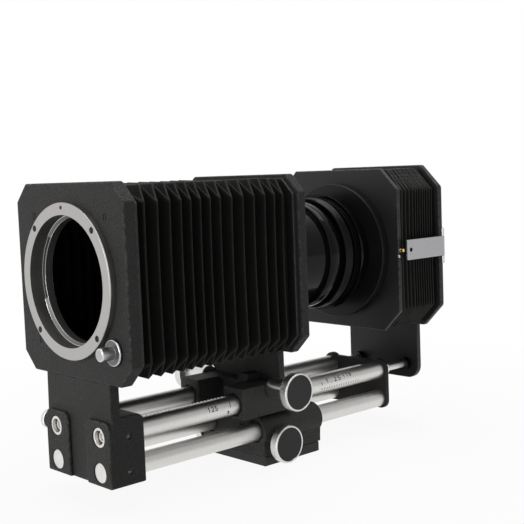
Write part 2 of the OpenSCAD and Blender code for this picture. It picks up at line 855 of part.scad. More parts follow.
module mid_knob_far() {
    color("gainsboro") placed() knob(upper_shaft_x, upper_shaft_z, mid_hub_r, mid_hub_y, mid_knob_back);
}

module mid_knob_near() {
    color("gainsboro") placed() mirror([0, 1, 0])
        knob(upper_shaft_x, upper_shaft_z, mid_hub_r, mid_hub_y, mid_knob_back);
}

module mid_knob_discs() {
    color("dimgray") placed() both_sides() knob_disc(upper_shaft_x, upper_shaft_z, mid_knob_back);
}

/* ---- hood ---- */

leg_x = frame_x + hood_frame_t;
leg_t = 3.2;
leg_low = -80.9;
leg_high = -39.5;

module hood_rods() {
    guide_r = tube_r - slip;
    color("silver") placed() for (side = [-1, 1])
        turned_x(side * rod_y, upper_z)
            polygon([[0, 2.2], [1.8, 2.2], [1.8, 0.8], [guide_r - 0.3, 0.8], [guide_r, 1.1], [guide_r, 38],
                     [thin_r, 38],
                     [thin_r, leg_x + leg_t], [0, leg_x + leg_t]]);
}

module hood_leg() {
    color("dimgray") placed() difference() {
        along_x(leg_x, leg_x + leg_t) {
            soft_rect([-neck_w / 2, leg_low], [neck_w / 2, leg_high], 8);
            rect([-neck_w / 2, leg_low + 10], [neck_w / 2, leg_high]);
        }
        for (side = [-1, 1]) rod_x(thin_r, leg_x - 1, leg_x + leg_t + 1, side * rod_y, upper_z);
        leg_screw_places() rod_x(1.1, leg_x - 1, leg_x + leg_t + 1, 0, 0);
    }
}

module leg_screw_places() {
    for (y = [-20, -7, 7, 20]) translate([0, y, -43]) children();
}

module leg_bushes() {
    color("gray") placed() for (side = [-1, 1])
        turned_x(side * rod_y, upper_z) rect([thin_r, leg_x - 3.8], [3.6, leg_x]);
}

module hood_leg_screws() {
    color("gray") placed() {
        leg_screw_places() difference() {
            union() {
                rod_x(2, leg_x + leg_t, leg_x + leg_t + 1, 0, 0);
                rod_x(1.1, leg_x - 2.4, leg_x + leg_t, 0, 0);
            }
            translate([leg_x + leg_t + 0.5, -0.3, -3]) cube([1, 0.6, 6]);
        }
        for (side = [-1, 1]) difference() {
            rod_x(3, leg_x + leg_t, leg_x + leg_t + 1.2, side * rod_y, upper_z);
            translate([leg_x + leg_t + 0.7, side * rod_y - 0.4, upper_z - 4]) cube([1, 0.8, 8]);
        }
    }
}

module hood_frame() {
    color("dimgray") placed() difference() {
        along_x(frame_x, leg_x) octagon(96.4, 95.2, 12.8, hood_lift);
        along_x(frame_x - 1, leg_x + 1) octagon(80, 79, 8, hood_lift);
        leg_screw_places() rod_x(1.1, leg_x - 2.4, leg_x + 1, 0, 0);
        ear_boxes();
    }
}

// The parts of the strap's hinge that are let into the edge of the outer frame
module ear_boxes() {
    translate([hinge_x - hinge_r, hinge_y + 0.2, strap_low - 4.2]) cube([2 * hinge_r, 2.5, 4]);
    translate([hinge_x - hinge_r, hinge_y + 0.2, strap_high + 0.2]) cube([2 * hinge_r, 2.5, 4.3]);
}

module strap_hinge_ears() {
    color("silver") placed() difference() {
        union() {
            ear_boxes();
            rod_z(hinge_r, strap_low - 4.2, strap_low - 0.2, hinge_x, hinge_y);
            rod_z(hinge_r, strap_high + 0.2, strap_high + 4.5, hinge_x, hinge_y);
        }
        rod_z(pin_r, strap_low - 5, strap_high + 6, hinge_x, hinge_y);
    }
}

module strap_pin() {
    color("silver") placed() rod_z(pin_r, strap_low - 4.5, strap_high + 4.8, hinge_x, hinge_y);
}

module latch_strap() {
    color("gainsboro") placed() difference() {
        union() {
            along_y(hinge_y - strap_t / 2, hinge_y + strap_t / 2)
                rect([strap_end, strap_low], [hinge_x, strap_high]);
            rod_z(hinge_r, strap_low, strap_high, hinge_x, hinge_y);
        }
        rod_z(pin_r + 0.05, strap_low - 1, strap_high + 1, hinge_x, hinge_y);
        rod_y(1.25, hinge_y - 2, hinge_y + 2, strap_hole_x, strap_mid);
    }
}

module hood_rear_plate() {
    color("dimgray") placed() difference() {
        along_x(hood_x, hood_x + hood_plate_t) octagon(92.6, 92.8, hood_cut, hood_lift);
        rod_x(bore_r, hood_x - 1, hood_x + hood_plate_t + 1, 0, 0);
        rod_y(0.6, -47, -44, stud_x, strap_mid);
    }
}

// Flange that carries the collar on the hood's rear plate
module collar_flange() {
    color("dimgray") placed() turned_x(0, 0)
        polygon([[bore_r, disc_x], [flange_r - 0.3, disc_x], [flange_r, disc_x + 0.3], [flange_r, hood_x],
                 [bore_r, hood_x]]);
}

module collar_sleeve() {
    color("dimgray") placed() turned_x(0, 0)
        polygon([[bore_r, collar_x], [27.1, collar_x], [27.5, collar_x + 0.4], [27.5, collar_step],
                 [collar_core, collar_step], [collar_core, disc_x], [bore_r, disc_x]]);
}

module collar_grip_ring() {
    color("dimgray") placed() turned_x(0, 0) difference() {
        rect([collar_core, collar_step], [30.6, 156]);
        translate([33.5, 157]) circle(r = 3);
    }
}

module collar_band() {
    color("dimgray") placed() turned_x(0, 0) rect([collar_core, 158], [32, 164]);
}

module collar_rim() {
    color("dimgray") placed() turned_x(0, 0)
        polygon([[collar_core, 166], [31.5, 166], [31.5, 168.3], [33.8, 168.3], [33.8, 170],
                 [collar_core, 170]]);
}

module latch_stud() {
    color("goldenrod") placed() {
        rod_y(0.6, -46.3, -44, stud_x, strap_mid);
        rod_y(1.2, -46.7, -46.3, stud_x, strap_mid);
        rod_y(0.9, hinge_y + strap_t / 2 + 0.1, -46.7, stud_x, strap_mid);
    }
}

// The first folds of the hood are drawn out wider than the rest
function hood_ridge(i) = i < 4 ? 2.4 + 3.2 * i : 12 + 2.1 * (i - 3);

module hood_bellows() {
    x0 = hood_x + hood_plate_t;
    x1 = frame_x - 0.3;
    ridges = [for (i = [0:hood_ridges - 1]) x0 + hood_ridge(i)];
    color("darkslategray") placed()
        bellows(pleats(x0, ridges, x1, hood_depth), hood_half, hood_half, hood_cut, hood_lift);
}

tripod_block();
tripod_shoe();
socket_bush();
shoe_screws();
block_bushes();
block_pinion_shaft();
block_knob_near();
block_knob_far();
block_knob_discs();
front_plate();
front_foot();
front_mount_ring();
claw_ring();
mount_ring_screws();
index_dot();
front_plate_screws();
front_bellows_frame();
near_upper_tube();
far_upper_tube();
near_lower_rod();
far_lower_rod();
upper_rack();
lower_rack();
end_plate();
rod_guide_bushes();
end_plate_screws();
foot_grub_screws();
button_sleeve();
release_button();
button_spring();
lock_screw();
lock_screw_rim();
mid_plate();
mid_carriage();
rear_mount_ring();
rear_plate_screws();
rear_bellows_frame();
carriage_bushes();
main_bellows();
mid_pinion_shaft();
mid_knob_near();
mid_knob_far();
mid_knob_discs();
hood_rods();
hood_leg();
leg_bushes();
hood_leg_screws();
hood_frame();
strap_hinge_ears();
strap_pin();
latch_strap();
hood_rear_plate();
collar_flange();
collar_sleeve();
collar_grip_ring();
collar_band();
collar_rim();
latch_stud();
hood_bellows();
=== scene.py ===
"""Looks of the macro bellows unit: rounded castings, folded bellows, knurled knobs,
turned collar, engraved tube scale, button spring and the finishes of every part.

All lengths are metres in the frame of the CAD model. X runs from the front plate
towards the hood, Z is up, and the origin is the mouth of the tripod socket."""

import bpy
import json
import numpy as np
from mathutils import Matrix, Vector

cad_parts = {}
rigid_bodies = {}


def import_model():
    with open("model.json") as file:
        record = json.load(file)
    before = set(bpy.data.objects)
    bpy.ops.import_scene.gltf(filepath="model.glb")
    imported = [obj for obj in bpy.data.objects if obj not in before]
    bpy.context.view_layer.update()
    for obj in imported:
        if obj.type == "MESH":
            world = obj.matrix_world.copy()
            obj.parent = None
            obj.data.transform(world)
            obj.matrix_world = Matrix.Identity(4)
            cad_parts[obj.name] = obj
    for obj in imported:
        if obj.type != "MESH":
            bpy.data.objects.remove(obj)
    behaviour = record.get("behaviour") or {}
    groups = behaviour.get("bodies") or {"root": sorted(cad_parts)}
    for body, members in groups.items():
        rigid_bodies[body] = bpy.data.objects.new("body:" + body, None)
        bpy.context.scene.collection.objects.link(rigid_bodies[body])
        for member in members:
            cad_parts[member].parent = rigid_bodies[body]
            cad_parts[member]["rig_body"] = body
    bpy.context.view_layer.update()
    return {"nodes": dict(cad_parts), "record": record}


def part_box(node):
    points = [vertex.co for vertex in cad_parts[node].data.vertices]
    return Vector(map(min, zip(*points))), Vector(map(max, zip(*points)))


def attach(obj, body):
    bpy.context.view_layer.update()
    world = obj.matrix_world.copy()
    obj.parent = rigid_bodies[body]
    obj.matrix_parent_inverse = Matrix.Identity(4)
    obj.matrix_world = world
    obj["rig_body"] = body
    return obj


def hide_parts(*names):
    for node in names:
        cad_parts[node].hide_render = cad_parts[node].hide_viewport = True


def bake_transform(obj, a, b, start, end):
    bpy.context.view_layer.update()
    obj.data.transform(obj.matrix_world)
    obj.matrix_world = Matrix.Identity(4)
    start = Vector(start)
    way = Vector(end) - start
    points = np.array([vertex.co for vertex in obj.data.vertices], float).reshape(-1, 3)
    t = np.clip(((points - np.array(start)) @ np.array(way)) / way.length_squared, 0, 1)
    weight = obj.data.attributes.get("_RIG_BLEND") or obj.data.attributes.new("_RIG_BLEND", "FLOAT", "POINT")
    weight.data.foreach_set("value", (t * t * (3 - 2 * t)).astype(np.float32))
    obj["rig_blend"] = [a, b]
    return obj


bl_info = {
    "name": "Macro bellows unit",
    "version": (1, 0, 0),
    "blender": (4, 5, 0),
    "location": "3D View > Sidebar > Bellows unit",
    "description": "Builds the visible surfaces and finishes of a macro bellows unit",
    "category": "Add Mesh",
}

import json
import math
from contextlib import contextmanager

import bmesh
import bpy
import numpy as np
from bpy.props import FloatProperty, FloatVectorProperty, IntProperty, PointerProperty
from mathutils import Matrix, Vector

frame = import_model()

AXIS_Z = 0.1072          # height of the optical axis
STATION = 0.118          # X of the front plate's face, negated
ROD_Y = 0.01845          # the rods lie this far from the middle plane
UPPER_Z = 0.0350         # height of the upper tubes
SCALE_RADIUS = 0.00502   # the scale lies this far from the tube's axis, just over its surface
SIDE_STEPS = 26          # samples across a flat face of the bellows
KNOBS = {"upper": (0.104 - STATION, 0.0, AXIS_Z - 0.0656), "lower": (0.1072 - STATION, 0.0, AXIS_Z - 0.0957)}
FOOT_TOP = AXIS_Z - 0.0624   # where the front plate's neck ends and its foot begins
KNOB_RADIUS = 0.010
HEAD_LENGTH = 0.005      # of a knob's knurled head
RECESS = 0.0089          # radius of the recess for its face disc
SHARP = 38               # degrees between two faces from which an edge is rounded
RIM_EDGE = 0.003         # a run whose edges are all shorter than this is the rim of a bore
COLLAR_BORE = 0.0265     # faces of the collar closer to the axis than this are its bore
RING_BORE = 0.0325       # the same for the mount ring
GRIP_INSIDE = 0.0288     # the grip ring and the band are drawn down to just under this radius


# ---------------------------------------------------------------- settings

def metres(name, about, default):
    return FloatProperty(name=name, description=about, default=default, unit="LENGTH")


def share(name, about, default):
    return FloatProperty(name=name, description=about, default=default, min=0, max=1, subtype="FACTOR")


def amount(name, about, default):
    return FloatProperty(name=name, description=about, default=default, min=0)


def count(name, about, default, least):
    return IntProperty(name=name, description=about, default=default, min=least)


def tint(name, default):
    about = "Colour of the " + name.lower()
    return FloatVectorProperty(name=name, description=about, subtype="COLOR", size=3, default=default)


def part(kind, name, about):
    return PointerProperty(type=kind, name=name, description=about)


class StageSettings(bpy.types.PropertyGroup):
    """Floor, light and camera of the picture."""

    ambient: amount("Ambient", "Strength of the even light all round", 0.22)
    key_power: amount("Key power", "Power of the large softbox, in watts", 5.6)
    top_power: amount("Top power", "Power of the overhead softbox, in watts", 6.8)
    shadow: share("Shadow", "How much of the floor's shadow the camera sees", 0.08)
    focal_length: FloatProperty(name="Focal length", description="Lens of the camera, in millimetres",
                                default=69.995, min=1)
    dark_side: share("Dark side", "How bright gloss sees the unlit side of the studio", 0.60)


class BellowsSettings(bpy.types.PropertyGroup):
    """The long bellows between the front plate and the middle plate."""

    ridges: count("Ridges", "Outer folds of a side face", 15, 3)
    first_ridge: metres("First ridge", "From the front plate's face to the first outer fold", 0.0127)
    pitch: metres("Pitch", "Average distance between outer folds", 0.00658)
    unevenness: metres("Unevenness", "How far the folds bunch up and spread", 0.00129)
    half_width: metres("Half width", "Half the width over the folds", 0.0446)
    half_height: metres("Half height", "Half the height over the folds", 0.0451)
    cut: metres("Cut corner", "Size of the cut corner", 0.0086)
    depth: metres("Depth", "Depth of the folds", 0.006)
    cloth: metres("Cloth", "Thickness of the coated cloth", 0.0007)


class HoodBellowsSettings(bpy.types.PropertyGroup):
    """The short bellows of the hood."""

    ridges: count("Ridges", "Outer folds of a side face", 13, 5)
    first_ridge: metres("First ridge", "From the hood's rear plate to the first outer fold", 0.0024)
    open_pitch: metres("Open pitch", "Distance between the first four folds, which are drawn out", 0.0032)
    pitch: metres("Pitch", "Distance between the other folds", 0.0021)
    half_size: metres("Half size", "Half the width and height over the folds", 0.046)
    cut: metres("Cut corner", "Size of the cut corner", 0.0121)
    depth: metres("Depth", "Depth of the folds", 0.0045)
    cloth: metres("Cloth", "Thickness of the coated cloth", 0.0005)


class KnobSettings(bpy.types.PropertyGroup):
    """Focusing knobs and the small thumb screw."""

    teeth: count("Knurl teeth", "Teeth round a focusing knob", 96, 8)
    knurl: metres("Knurl depth", "Depth of the knurling", 0.00011)
    edge: metres("Edge", "Chamfer beside the knurling", 0.0005)
    upper_hub: metres("Upper hub", "Radius of the upper knobs' hubs", 0.0056)
    lower_hub: metres("Lower hub", "Radius of the lower knobs' hubs", 0.004)
    screw_teeth: count("Screw teeth", "Teeth round the thumb screw", 48, 8)
    screw_knurl: metres("Screw knurl depth", "Depth of the thumb screw's knurling", 0.00016)


class EdgeSettings(bpy.types.PropertyGroup):
    """Small rounds on the edges of the rigid parts."""

    foot: metres("Foot", "Round on the long edges of the front foot", 0.00085)
    casting: metres("Casting", "Round on the long edges of the block and the carriage", 0.0008)
    standard: metres("Standard", "Round on the outline of the two main plates", 0.0008)
    frame: metres("Hood frame", "Round on the edges of the hood's frame and rear plate", 0.0008)
    plate: metres("Plate", "Round on the edges of thin plates", 0.00028)
    strap: metres("Strap", "Round on the edges of the hood's strap", 0.0003)
    small: metres("Small edges", "Round on the short edges and bores of the painted parts", 0.00018)
    metal: metres("Metal", "Round on turned and milled edges", 0.00015)


class ScaleSettings(bpy.types.PropertyGroup):
    """Lines and numbers engraved in the near upper tube."""

    step: metres("Step", "Distance between two of the small lines", 0.002)
    line: metres("Line", "Width of a line", 0.00040)


class FinishSettings(bpy.types.PropertyGroup):
    """Base colours, scene-linear."""

    wrinkle: tint("Wrinkle paint", (0.0155, 0.0155, 0.0150))
    smooth: tint("Smooth paint", (0.018, 0.018, 0.0175))
    block: tint("Block and carriage paint", (0.026, 0.026, 0.025))
    gloss: tint("Polished black", (0.004, 0.004, 0.004))
    cloth: tint("Coated bellows cloth", (0.0055, 0.0055, 0.0050))
    # lighter than the long bellows' cloth: partly its own colour, partly painted light from the floor below
    hood_cloth: tint("Hood cloth", (0.012, 0.012, 0.0112))
    flange: tint("Collar's flange", (0.012, 0.012, 0.012))
    inlay: tint("Knob faces and inlays", (0.030, 0.030, 0.029))
    ring: tint("Mount ring", (0.44, 0.43, 0.42))
    bore: tint("Ring bore", (0.24, 0.235, 0.23))
    brushed: tint("Brushed strap", (0.45, 0.45, 0.46))
    chrome: tint("Satin chrome", (0.75, 0.74, 0.72))
    bright: tint("Bright chrome", (0.80, 0.80, 0.80))
    aluminium: tint("Satin aluminium", (0.72, 0.72, 0.71))
    steel: tint("Steel", (0.56, 0.56, 0.56))
    dark_steel: tint("Dark steel", (0.035, 0.035, 0.037))
    # far darker than bronze: painted shade in the gap where the tubes enter the carriage and the block
    bronze: tint("Bushes", (0.09, 0.075, 0.055))
    brass: tint("Brass", (0.74, 0.56, 0.27))
    lip: tint("Bayonet lip", (0.20, 0.20, 0.195))
    button: tint("Release button", (0.48, 0.48, 0.48))
    sleeve: tint("Button sleeve", (0.15, 0.15, 0.15))
    red: tint("Index dot", (0.07, 0.008, 0.008))


class UnitSettings(bpy.types.PropertyGroup):
    """Everything that a user may change."""

    stage: part(StageSettings, "Stage", "Floor, light and camera")
    bellows: part(BellowsSettings, "Bellows", "The long bellows")
    hood: part(HoodBellowsSettings, "Hood bellows", "The short bellows")
    knobs: part(KnobSettings, "Knobs", "Knobs and thumb screw")
    edges: part(EdgeSettings, "Edges", "Rounds on edges")
    scale: part(ScaleSettings, "Scale", "Engraved scale")
    finish: part(FinishSettings, "Finishes", "Base colours")


def settings():
    return bpy.context.scene.bellows_unit


# ---------------------------------------------------------------- meshes

def grid_faces(rows, columns, close_rows=False, close_columns=False):
    """Quads between neighbouring points of a grid numbered row by row."""
    index = np.arange(rows * columns).reshape(rows, columns)
    if close_rows:
        index = np.vstack([index, index[:1]])
    if close_columns:
        index = np.hstack([index, index[:, :1]])
    corners = (index[:-1, :-1], index[:-1, 1:], index[1:, 1:], index[1:, :-1])
    return np.stack(corners, -1).reshape(-1, 4).tolist()


def join(parts):
    """One set of points and faces out of several."""
    points, faces, start = [], [], 0
    for part_points, part_faces in parts:
        points.append(part_points)
        faces.extend((np.asarray(part_faces) + start).tolist())
        start += len(part_points)
    return np.vstack(points), faces


@contextmanager
def editing(mesh):
    """The mesh as a bmesh, which is written back at the end."""
    work = bmesh.new()
    work.from_mesh(mesh)
    yield work
    work.to_mesh(mesh)
    work.free()


def show(name, mesh, materials, sharp):
    """Makes an object of the mesh, smooth between edges that turn by more than sharp degrees."""
    mesh.shade_smooth()
    mesh.set_sharp_from_angle(angle=math.radians(sharp))
    for material in materials:
        mesh.materials.append(bpy.data.materials[material])
    piece = bpy.data.objects.new(name, mesh)
    bpy.context.scene.collection.objects.link(piece)
    return piece


def add_piece(name, points, faces, material, sharp=35, weld=True):
    """A mesh object with its place in its points; doubles are merged, then normals turned outwards."""
    mesh = bpy.data.meshes.new(name)
    mesh.from_pydata(points.reshape(-1, 3).tolist(), [], faces)
    if weld:
        with editing(mesh) as work:
            bmesh.ops.remove_doubles(work, verts=work.verts, dist=2e-7)
            bmesh.ops.recalc_face_normals(work, faces=work.faces)
    return show(name, mesh, [material], sharp)


def take_place(piece, node):
    """The piece rides on the node's body and is seen instead of the node."""
    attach(piece, body_of(node))
    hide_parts(node)


def turned(profile, sides, axis, centre, teeth=0, knurl=0.0):
    """Surface of revolution. Point(s, a) lies along(s) down the axis and radius(s) away from it at
    angle a; where the profile's third number is 1, the radius is less by knurl times the tooth
    wave, which is the distance of a from the nearest tooth crest, 0 on it and 1 in the groove."""
    radius, along, rough = (np.asarray(profile, float)[:, i] for i in range(3))
    angle = np.linspace(0, 2 * np.pi, sides, endpoint=False)
    wave = np.abs((angle * teeth / (2 * np.pi) + 0.5) % 1 - 0.5) * 2 if teeth else np.zeros(sides)
    reach = radius[:, None] - knurl * rough[:, None] * wave[None, :]
    first, second = reach * np.cos(angle), reach * np.sin(angle)
    length = np.broadcast_to(along[:, None], reach.shape)
    order = (length, first, second) if axis == "x" else (first, length, second)
    closed = bool(radius[0] > 1e-9)
    points = np.stack(order, -1) + np.asarray(centre)
    return points.reshape(-1, 3), grid_faces(len(radius), sides, closed, True)


def rounded_profile(corners, radius, steps=3):
    """The same closed or open profile with each inner corner replaced by a small arc: a quadratic
    curve from radius before the corner to radius after it, with the corner as its control point."""
    points = np.asarray(corners, float)
    result = [points[0]]
    for before, corner, after in zip(points[:-2], points[1:-1], points[2:]):
        back, ahead = before - corner, after - corner
        reach = min(radius, np.linalg.norm(back[:2]) / 2.1, np.linalg.norm(ahead[:2]) / 2.1)
        start = corner + back / np.linalg.norm(back[:2]) * reach
        end = corner + ahead / np.linalg.norm(ahead[:2]) * reach
        for t in np.linspace(0, 1, steps + 1):
            result.append((1 - t) ** 2 * start + 2 * t * (1 - t) * corner + t * t * end)
    result.append(points[-1])
    return np.array(result)


# ---------------------------------------------------------------- finishes

# colours of dust and of the edge patches; the edge colour is partly bare metal, partly a painted edge highlight
DUST, BARE_METAL_AND_EDGE_HIGHLIGHT = (0.16, 0.158, 0.15, 1.0), (0.16, 0.16, 0.15, 1.0)


class NodeSheet:
    """Adds nodes to one tree."""

    def __init__(self, tree):
        self.tree = tree

    def feed(self, sockets, values):
        """Links each input to the socket given for it, or sets it to the value given."""
        for key, value in values.items():
            if isinstance(value, bpy.types.NodeSocket):
                self.tree.links.new(value, sockets[key])
            else:
                sockets[key].default_value = value

    def node(self, kind, inputs=None, **options):
        made = self.tree.nodes.new(kind)
        for key, value in options.items():
            setattr(made, key, value)
        self.feed(made.inputs, inputs or {})
        return made

    def math(self, operation, *values, clamp=False):
        inputs = dict(enumerate(values))
        return self.node("ShaderNodeMath", inputs, operation=operation, use_clamp=clamp).outputs[0]

    def times(self, first, second, clamp=False):
        return self.math("MULTIPLY", first, second, clamp=clamp)

    def less(self, value):
        """What is left of 1."""
        return self.math("SUBTRACT", 1.0, value)

    def plus(self, first, second):
        return self.math("ADD", first, second)

    def vector(self, operation, inputs, result="Vector"):
        return self.node("ShaderNodeVectorMath", inputs, operation=operation).outputs[result]

    def span(self, value, low, high, to_low=0.0, to_high=1.0):
        inputs = {"Value": value, "From Min": low, "From Max": high, "To Min": to_low, "To Max": to_high}
        return self.node("ShaderNodeMapRange", inputs, clamp=True).outputs["Result"]

    def noise(self, vector, scale, detail=3.0, roughness=0.55):
        inputs = {"Vector": vector, "Scale": scale, "Detail": detail, "Roughness": roughness}
        return self.node("ShaderNodeTexNoise", inputs).outputs["Fac"]

    def mix(self, mask, first, second):
        inputs = {0: mask, 6: first, 7: second}
        return self.node("ShaderNodeMix", inputs, data_type="RGBA", blend_type="MIX").outputs[2]

    def stretch(self, vector, scale):
        return self.node("ShaderNodeMapping", {"Vector": vector, "Scale": scale}).outputs["Vector"]

    def bump(self, height, distance):
        inputs = {"Height": height, "Distance": distance, "Strength": 1.0}
        return self.node("ShaderNodeBump", inputs).outputs["Normal"]

    def attribute(self, name):
        """A number that the mesh carries on its faces or points."""
        made = self.node("ShaderNodeAttribute", attribute_name=name, attribute_type="GEOMETRY")
        return made.outputs["Fac"]

    def use(self, group, **inputs):
        """Places a shared effect."""
        return self.node("ShaderNodeGroup", inputs, node_tree=bpy.data.node_groups[group]).outputs


def bare_sheet(owner):
    """The emptied node tree of a material or world."""
    owner.use_nodes = True
    owner.node_tree.nodes.clear()
    return NodeSheet(owner.node_tree)


def wrinkle_relief(sheet, given):
    """Rounded cells, bent by a coarser noise, with fine grain on them."""
    place = given["Vector"]
    warp = sheet.node("ShaderNodeTexNoise", {"Vector": place, "Scale": 700.0, "Detail": 2.0})
    push = sheet.vector("SCALE", {0: warp.outputs["Color"], "Scale": 0.0011})
    inputs = {"Vector": sheet.vector("ADD", {0: place, 1: push}), "Scale": given["Scale"], "Smoothness": 0.6}
    cells = sheet.node("ShaderNodeTexVoronoi", inputs, feature="SMOOTH_F1").outputs["Distance"]
    body, fine = sheet.times(sheet.span(cells, 0.1, 0.75), 0.8), sheet.times(sheet.noise(place, 5200.0, 2.0), 0.25)
    return {"Height": sheet.plus(body, fine), "Tone": sheet.span(sheet.noise(place, 45.0, 4.0), 0.3, 0.7)}


def rubbed_and_highlit_edges(sheet, given):
    """Patches along the edges, lighter than the paint: partly bare metal where the paint has gone, partly a
    painted edge highlight.
    """
    patchy = sheet.span(sheet.noise(given["Vector"], 330.0, 5.0, 0.68), 0.44, 0.66)
    return {"Mask": sheet.times(sheet.times(given["Edge"], patchy), given["Amount"], clamp=True)}


def handling_marks(sheet, given):
    """Smears of two sizes, which move the roughness between Low and High."""
    broad, small = sheet.noise(given["Vector"], 38.0), sheet.noise(given["Vector"], 520.0, 4.0, 0.6)
    mask = sheet.span(sheet.plus(sheet.times(broad, 0.7), sheet.times(small, 0.3)), 0.35, 0.65)
    return {"Roughness": sheet.span(mask, 0.0, 1.0, given["Low"], given["High"]), "Mask": mask}


def settled_dust(sheet, given):
    """Specks on what faces up."""
    normal = sheet.node("ShaderNodeNewGeometry").outputs["Normal"]
    up = sheet.node("ShaderNodeSeparateXYZ", {0: normal}).outputs["Z"]
    specks = sheet.span(sheet.noise(given["Vector"], 900.0, 5.0, 0.7), 0.48, 0.75)
    return {"Mask": sheet.times(sheet.times(sheet.span(up, 0.2, 1.0), specks), given["Amount"], clamp=True)}


def drawn_lines(sheet, given):
    """Fine lines of a drawn or ground surface."""
    lines = sheet.noise(sheet.vector("SCALE", {0: given["Vector"], "Scale": given["Scale"]}), 1.0, 4.0, 0.7)
    return {"Height": lines, "Mask": sheet.span(lines, 0.35, 0.65)}


def turning_marks(sheet, given):
    """Rings of a lathe round the origin of the vector."""
    distance = sheet.vector("LENGTH", {0: given["Vector"]}, "Value")
    steps = sheet.node("ShaderNodeCombineXYZ", {"X": sheet.times(distance, given["Rings"])}).outputs[0]
    rings = sheet.noise(steps, 1.0, 3.0, 0.6)
    return {"Height": rings, "Mask": sheet.span(rings, 0.35, 0.65)}


def cloth_relief(sheet, given):
    """Two crossing sets of threads under a grainy coating."""
    place = given["Vector"]
    axes = sheet.node("ShaderNodeSeparateXYZ", {0: place}).outputs
    waves = [sheet.math("ABSOLUTE", sheet.math("SINE", sheet.times(axes[a], given["Threads"]))) for a in "XY"]
    grain = sheet.times(sheet.noise(place, 1800.0, 4.0, 0.65), 0.75)
    return {"Height": sheet.plus(sheet.times(sheet.math("MAXIMUM", *waves), 0.45), grain),
            "Tone": sheet.span(sheet.noise(place, 60.0, 4.0), 0.3, 0.7)}


# each effect with the numbers that it takes besides a vector, and what it gives
EFFECTS = (
    (wrinkle_relief, {"Scale": 1500.0}, ("Height", "Tone")),
    (rubbed_and_highlit_edges, {"Edge": 0.0, "Amount": 0.5}, ("Mask",)),
    (handling_marks, {"Low": 0.3, "High": 0.45}, ("Roughness", "Mask")),
    (settled_dust, {"Amount": 0.3}, ("Mask",)),
    (drawn_lines, {"Scale": 1.0}, ("Height", "Mask")),
    (turning_marks, {"Rings": 5200.0}, ("Height", "Mask")),
    (cloth_relief, {"Threads": 2600.0}, ("Height", "Tone")),
)


def make_groups():
    """One shared node group for each effect."""
    for build, numbers, results in EFFECTS:
        tree = bpy.data.node_groups.new(build.__name__, "ShaderNodeTree")
        face = tree.interface
        face.new_socket(name="Vector", in_out="INPUT", socket_type="NodeSocketVector")
        for label, default in numbers.items():
            socket = face.new_socket(name=label, in_out="INPUT", socket_type="NodeSocketFloat")
            socket.default_value = default
        for label in results:
            face.new_socket(name=label, in_out="OUTPUT", socket_type="NodeSocketFloat")
        sheet, ends = NodeSheet(tree), tree.nodes.new("NodeGroupOutput").inputs
        sheet.feed(ends, build(sheet, tree.nodes.new("NodeGroupInput").outputs))


def start_material(name):
    """The material of that name, emptied where the CAD model brought a plain one: its sheet, the inputs
    of its Principled shader and the object's own coordinates."""
    sheet = bare_sheet(bpy.data.materials.get(name) or bpy.data.materials.new(name))
    shader = sheet.node("ShaderNodeBsdfPrincipled")
    sheet.node("ShaderNodeOutputMaterial", {"Surface": shader.outputs["BSDF"]})
    return sheet, shader.inputs, sheet.node("ShaderNodeTexCoord").outputs["Object"]


def rgba(colour, factor=1.0):
    return (*[min(1.0, c * factor) for c in colour], 1.0)


def paint(name, colour, low, high, grain, depth, edge_wear_and_light=0.0, dust=0.0, specular=0.18, crest_highlight=0.2):
    """Painted metal: wrinkle or orange-peel relief with a painted highlight on its raised cells, uneven tone,
    edges where the paint comes off, which also carry a painted edge highlight, and a little dust.
    """
    sheet, shader, place = start_material(name)
    wrinkles = sheet.use("wrinkle_relief", Vector=place, Scale=grain)
    marks = sheet.use("handling_marks", Vector=place, Low=low, High=high)
    rubbed_and_highlit = sheet.use("rubbed_and_highlit_edges", Vector=place, Edge=sheet.attribute("edge_wear_and_highlight"), Amount=edge_wear_and_light)
    dusty = sheet.use("settled_dust", Vector=place, Amount=dust)
    toned = sheet.mix(wrinkles["Tone"], rgba(colour, 0.94), rgba(colour, 1.06))
    # the relief's raised cells are painted lighter: a painted highlight where light catches the wrinkles
    crests = sheet.mix(sheet.times(wrinkles["Height"], crest_highlight, clamp=True), toned, rgba(colour, 2.6))
    # edge patches: bare metal where the paint is gone, and a painted edge highlight
    worn_and_highlit = sheet.mix(rubbed_and_highlit["Mask"], crests, BARE_METAL_AND_EDGE_HIGHLIGHT)
    sheet.feed(shader, {"Base Color": sheet.mix(dusty["Mask"], worn_and_highlit, DUST), "Roughness": marks["Roughness"],
                        "Specular IOR Level": specular, "Normal": sheet.bump(wrinkles["Height"], depth)})


def lacquer(name, colour, low, high, specular):
    """Smooth polished black: wiping marks change its gloss and a breath of dust lies on top."""
    sheet, shader, place = start_material(name)
    marks = sheet.use("handling_marks", Vector=place, Low=low, High=high)
    dusty = sheet.use("settled_dust", Vector=place, Amount=0.03)
    toned = sheet.mix(marks["Mask"], rgba(colour, 0.9), rgba(colour, 1.15))
    sheet.feed(shader, {"Base Color": sheet.mix(dusty["Mask"], toned, (0.12, 0.12, 0.115, 1.0)),
                        "Roughness": marks["Roughness"], "Specular IOR Level": specular})


def metal(name, colour, low, high, tarnish, stretch=(1.0, 1.0, 1.0), lines=2600.0, depth=8.0e-6):
    """Bare or plated metal: fine lines from drawing, grinding or turning, smudges, darker patches."""
    sheet, shader, place = start_material(name)
    drawn = sheet.use("drawn_lines", Vector=sheet.stretch(place, stretch), Scale=lines)
    marks = sheet.use("handling_marks", Vector=place, Low=low, High=high)
    toned = sheet.mix(drawn["Mask"], rgba(colour, 0.94), rgba(colour, 1.05))
    mask = sheet.times(sheet.less(marks["Mask"]), tarnish)
    dull = rgba((colour[0] * 0.55, colour[1] * 0.52, colour[2] * 0.47))
    sheet.feed(shader, {"Base Color": sheet.mix(mask, toned, dull), "Roughness": marks["Roughness"],
                        "Metallic": 1.0, "Normal": sheet.bump(drawn["Height"], depth)})


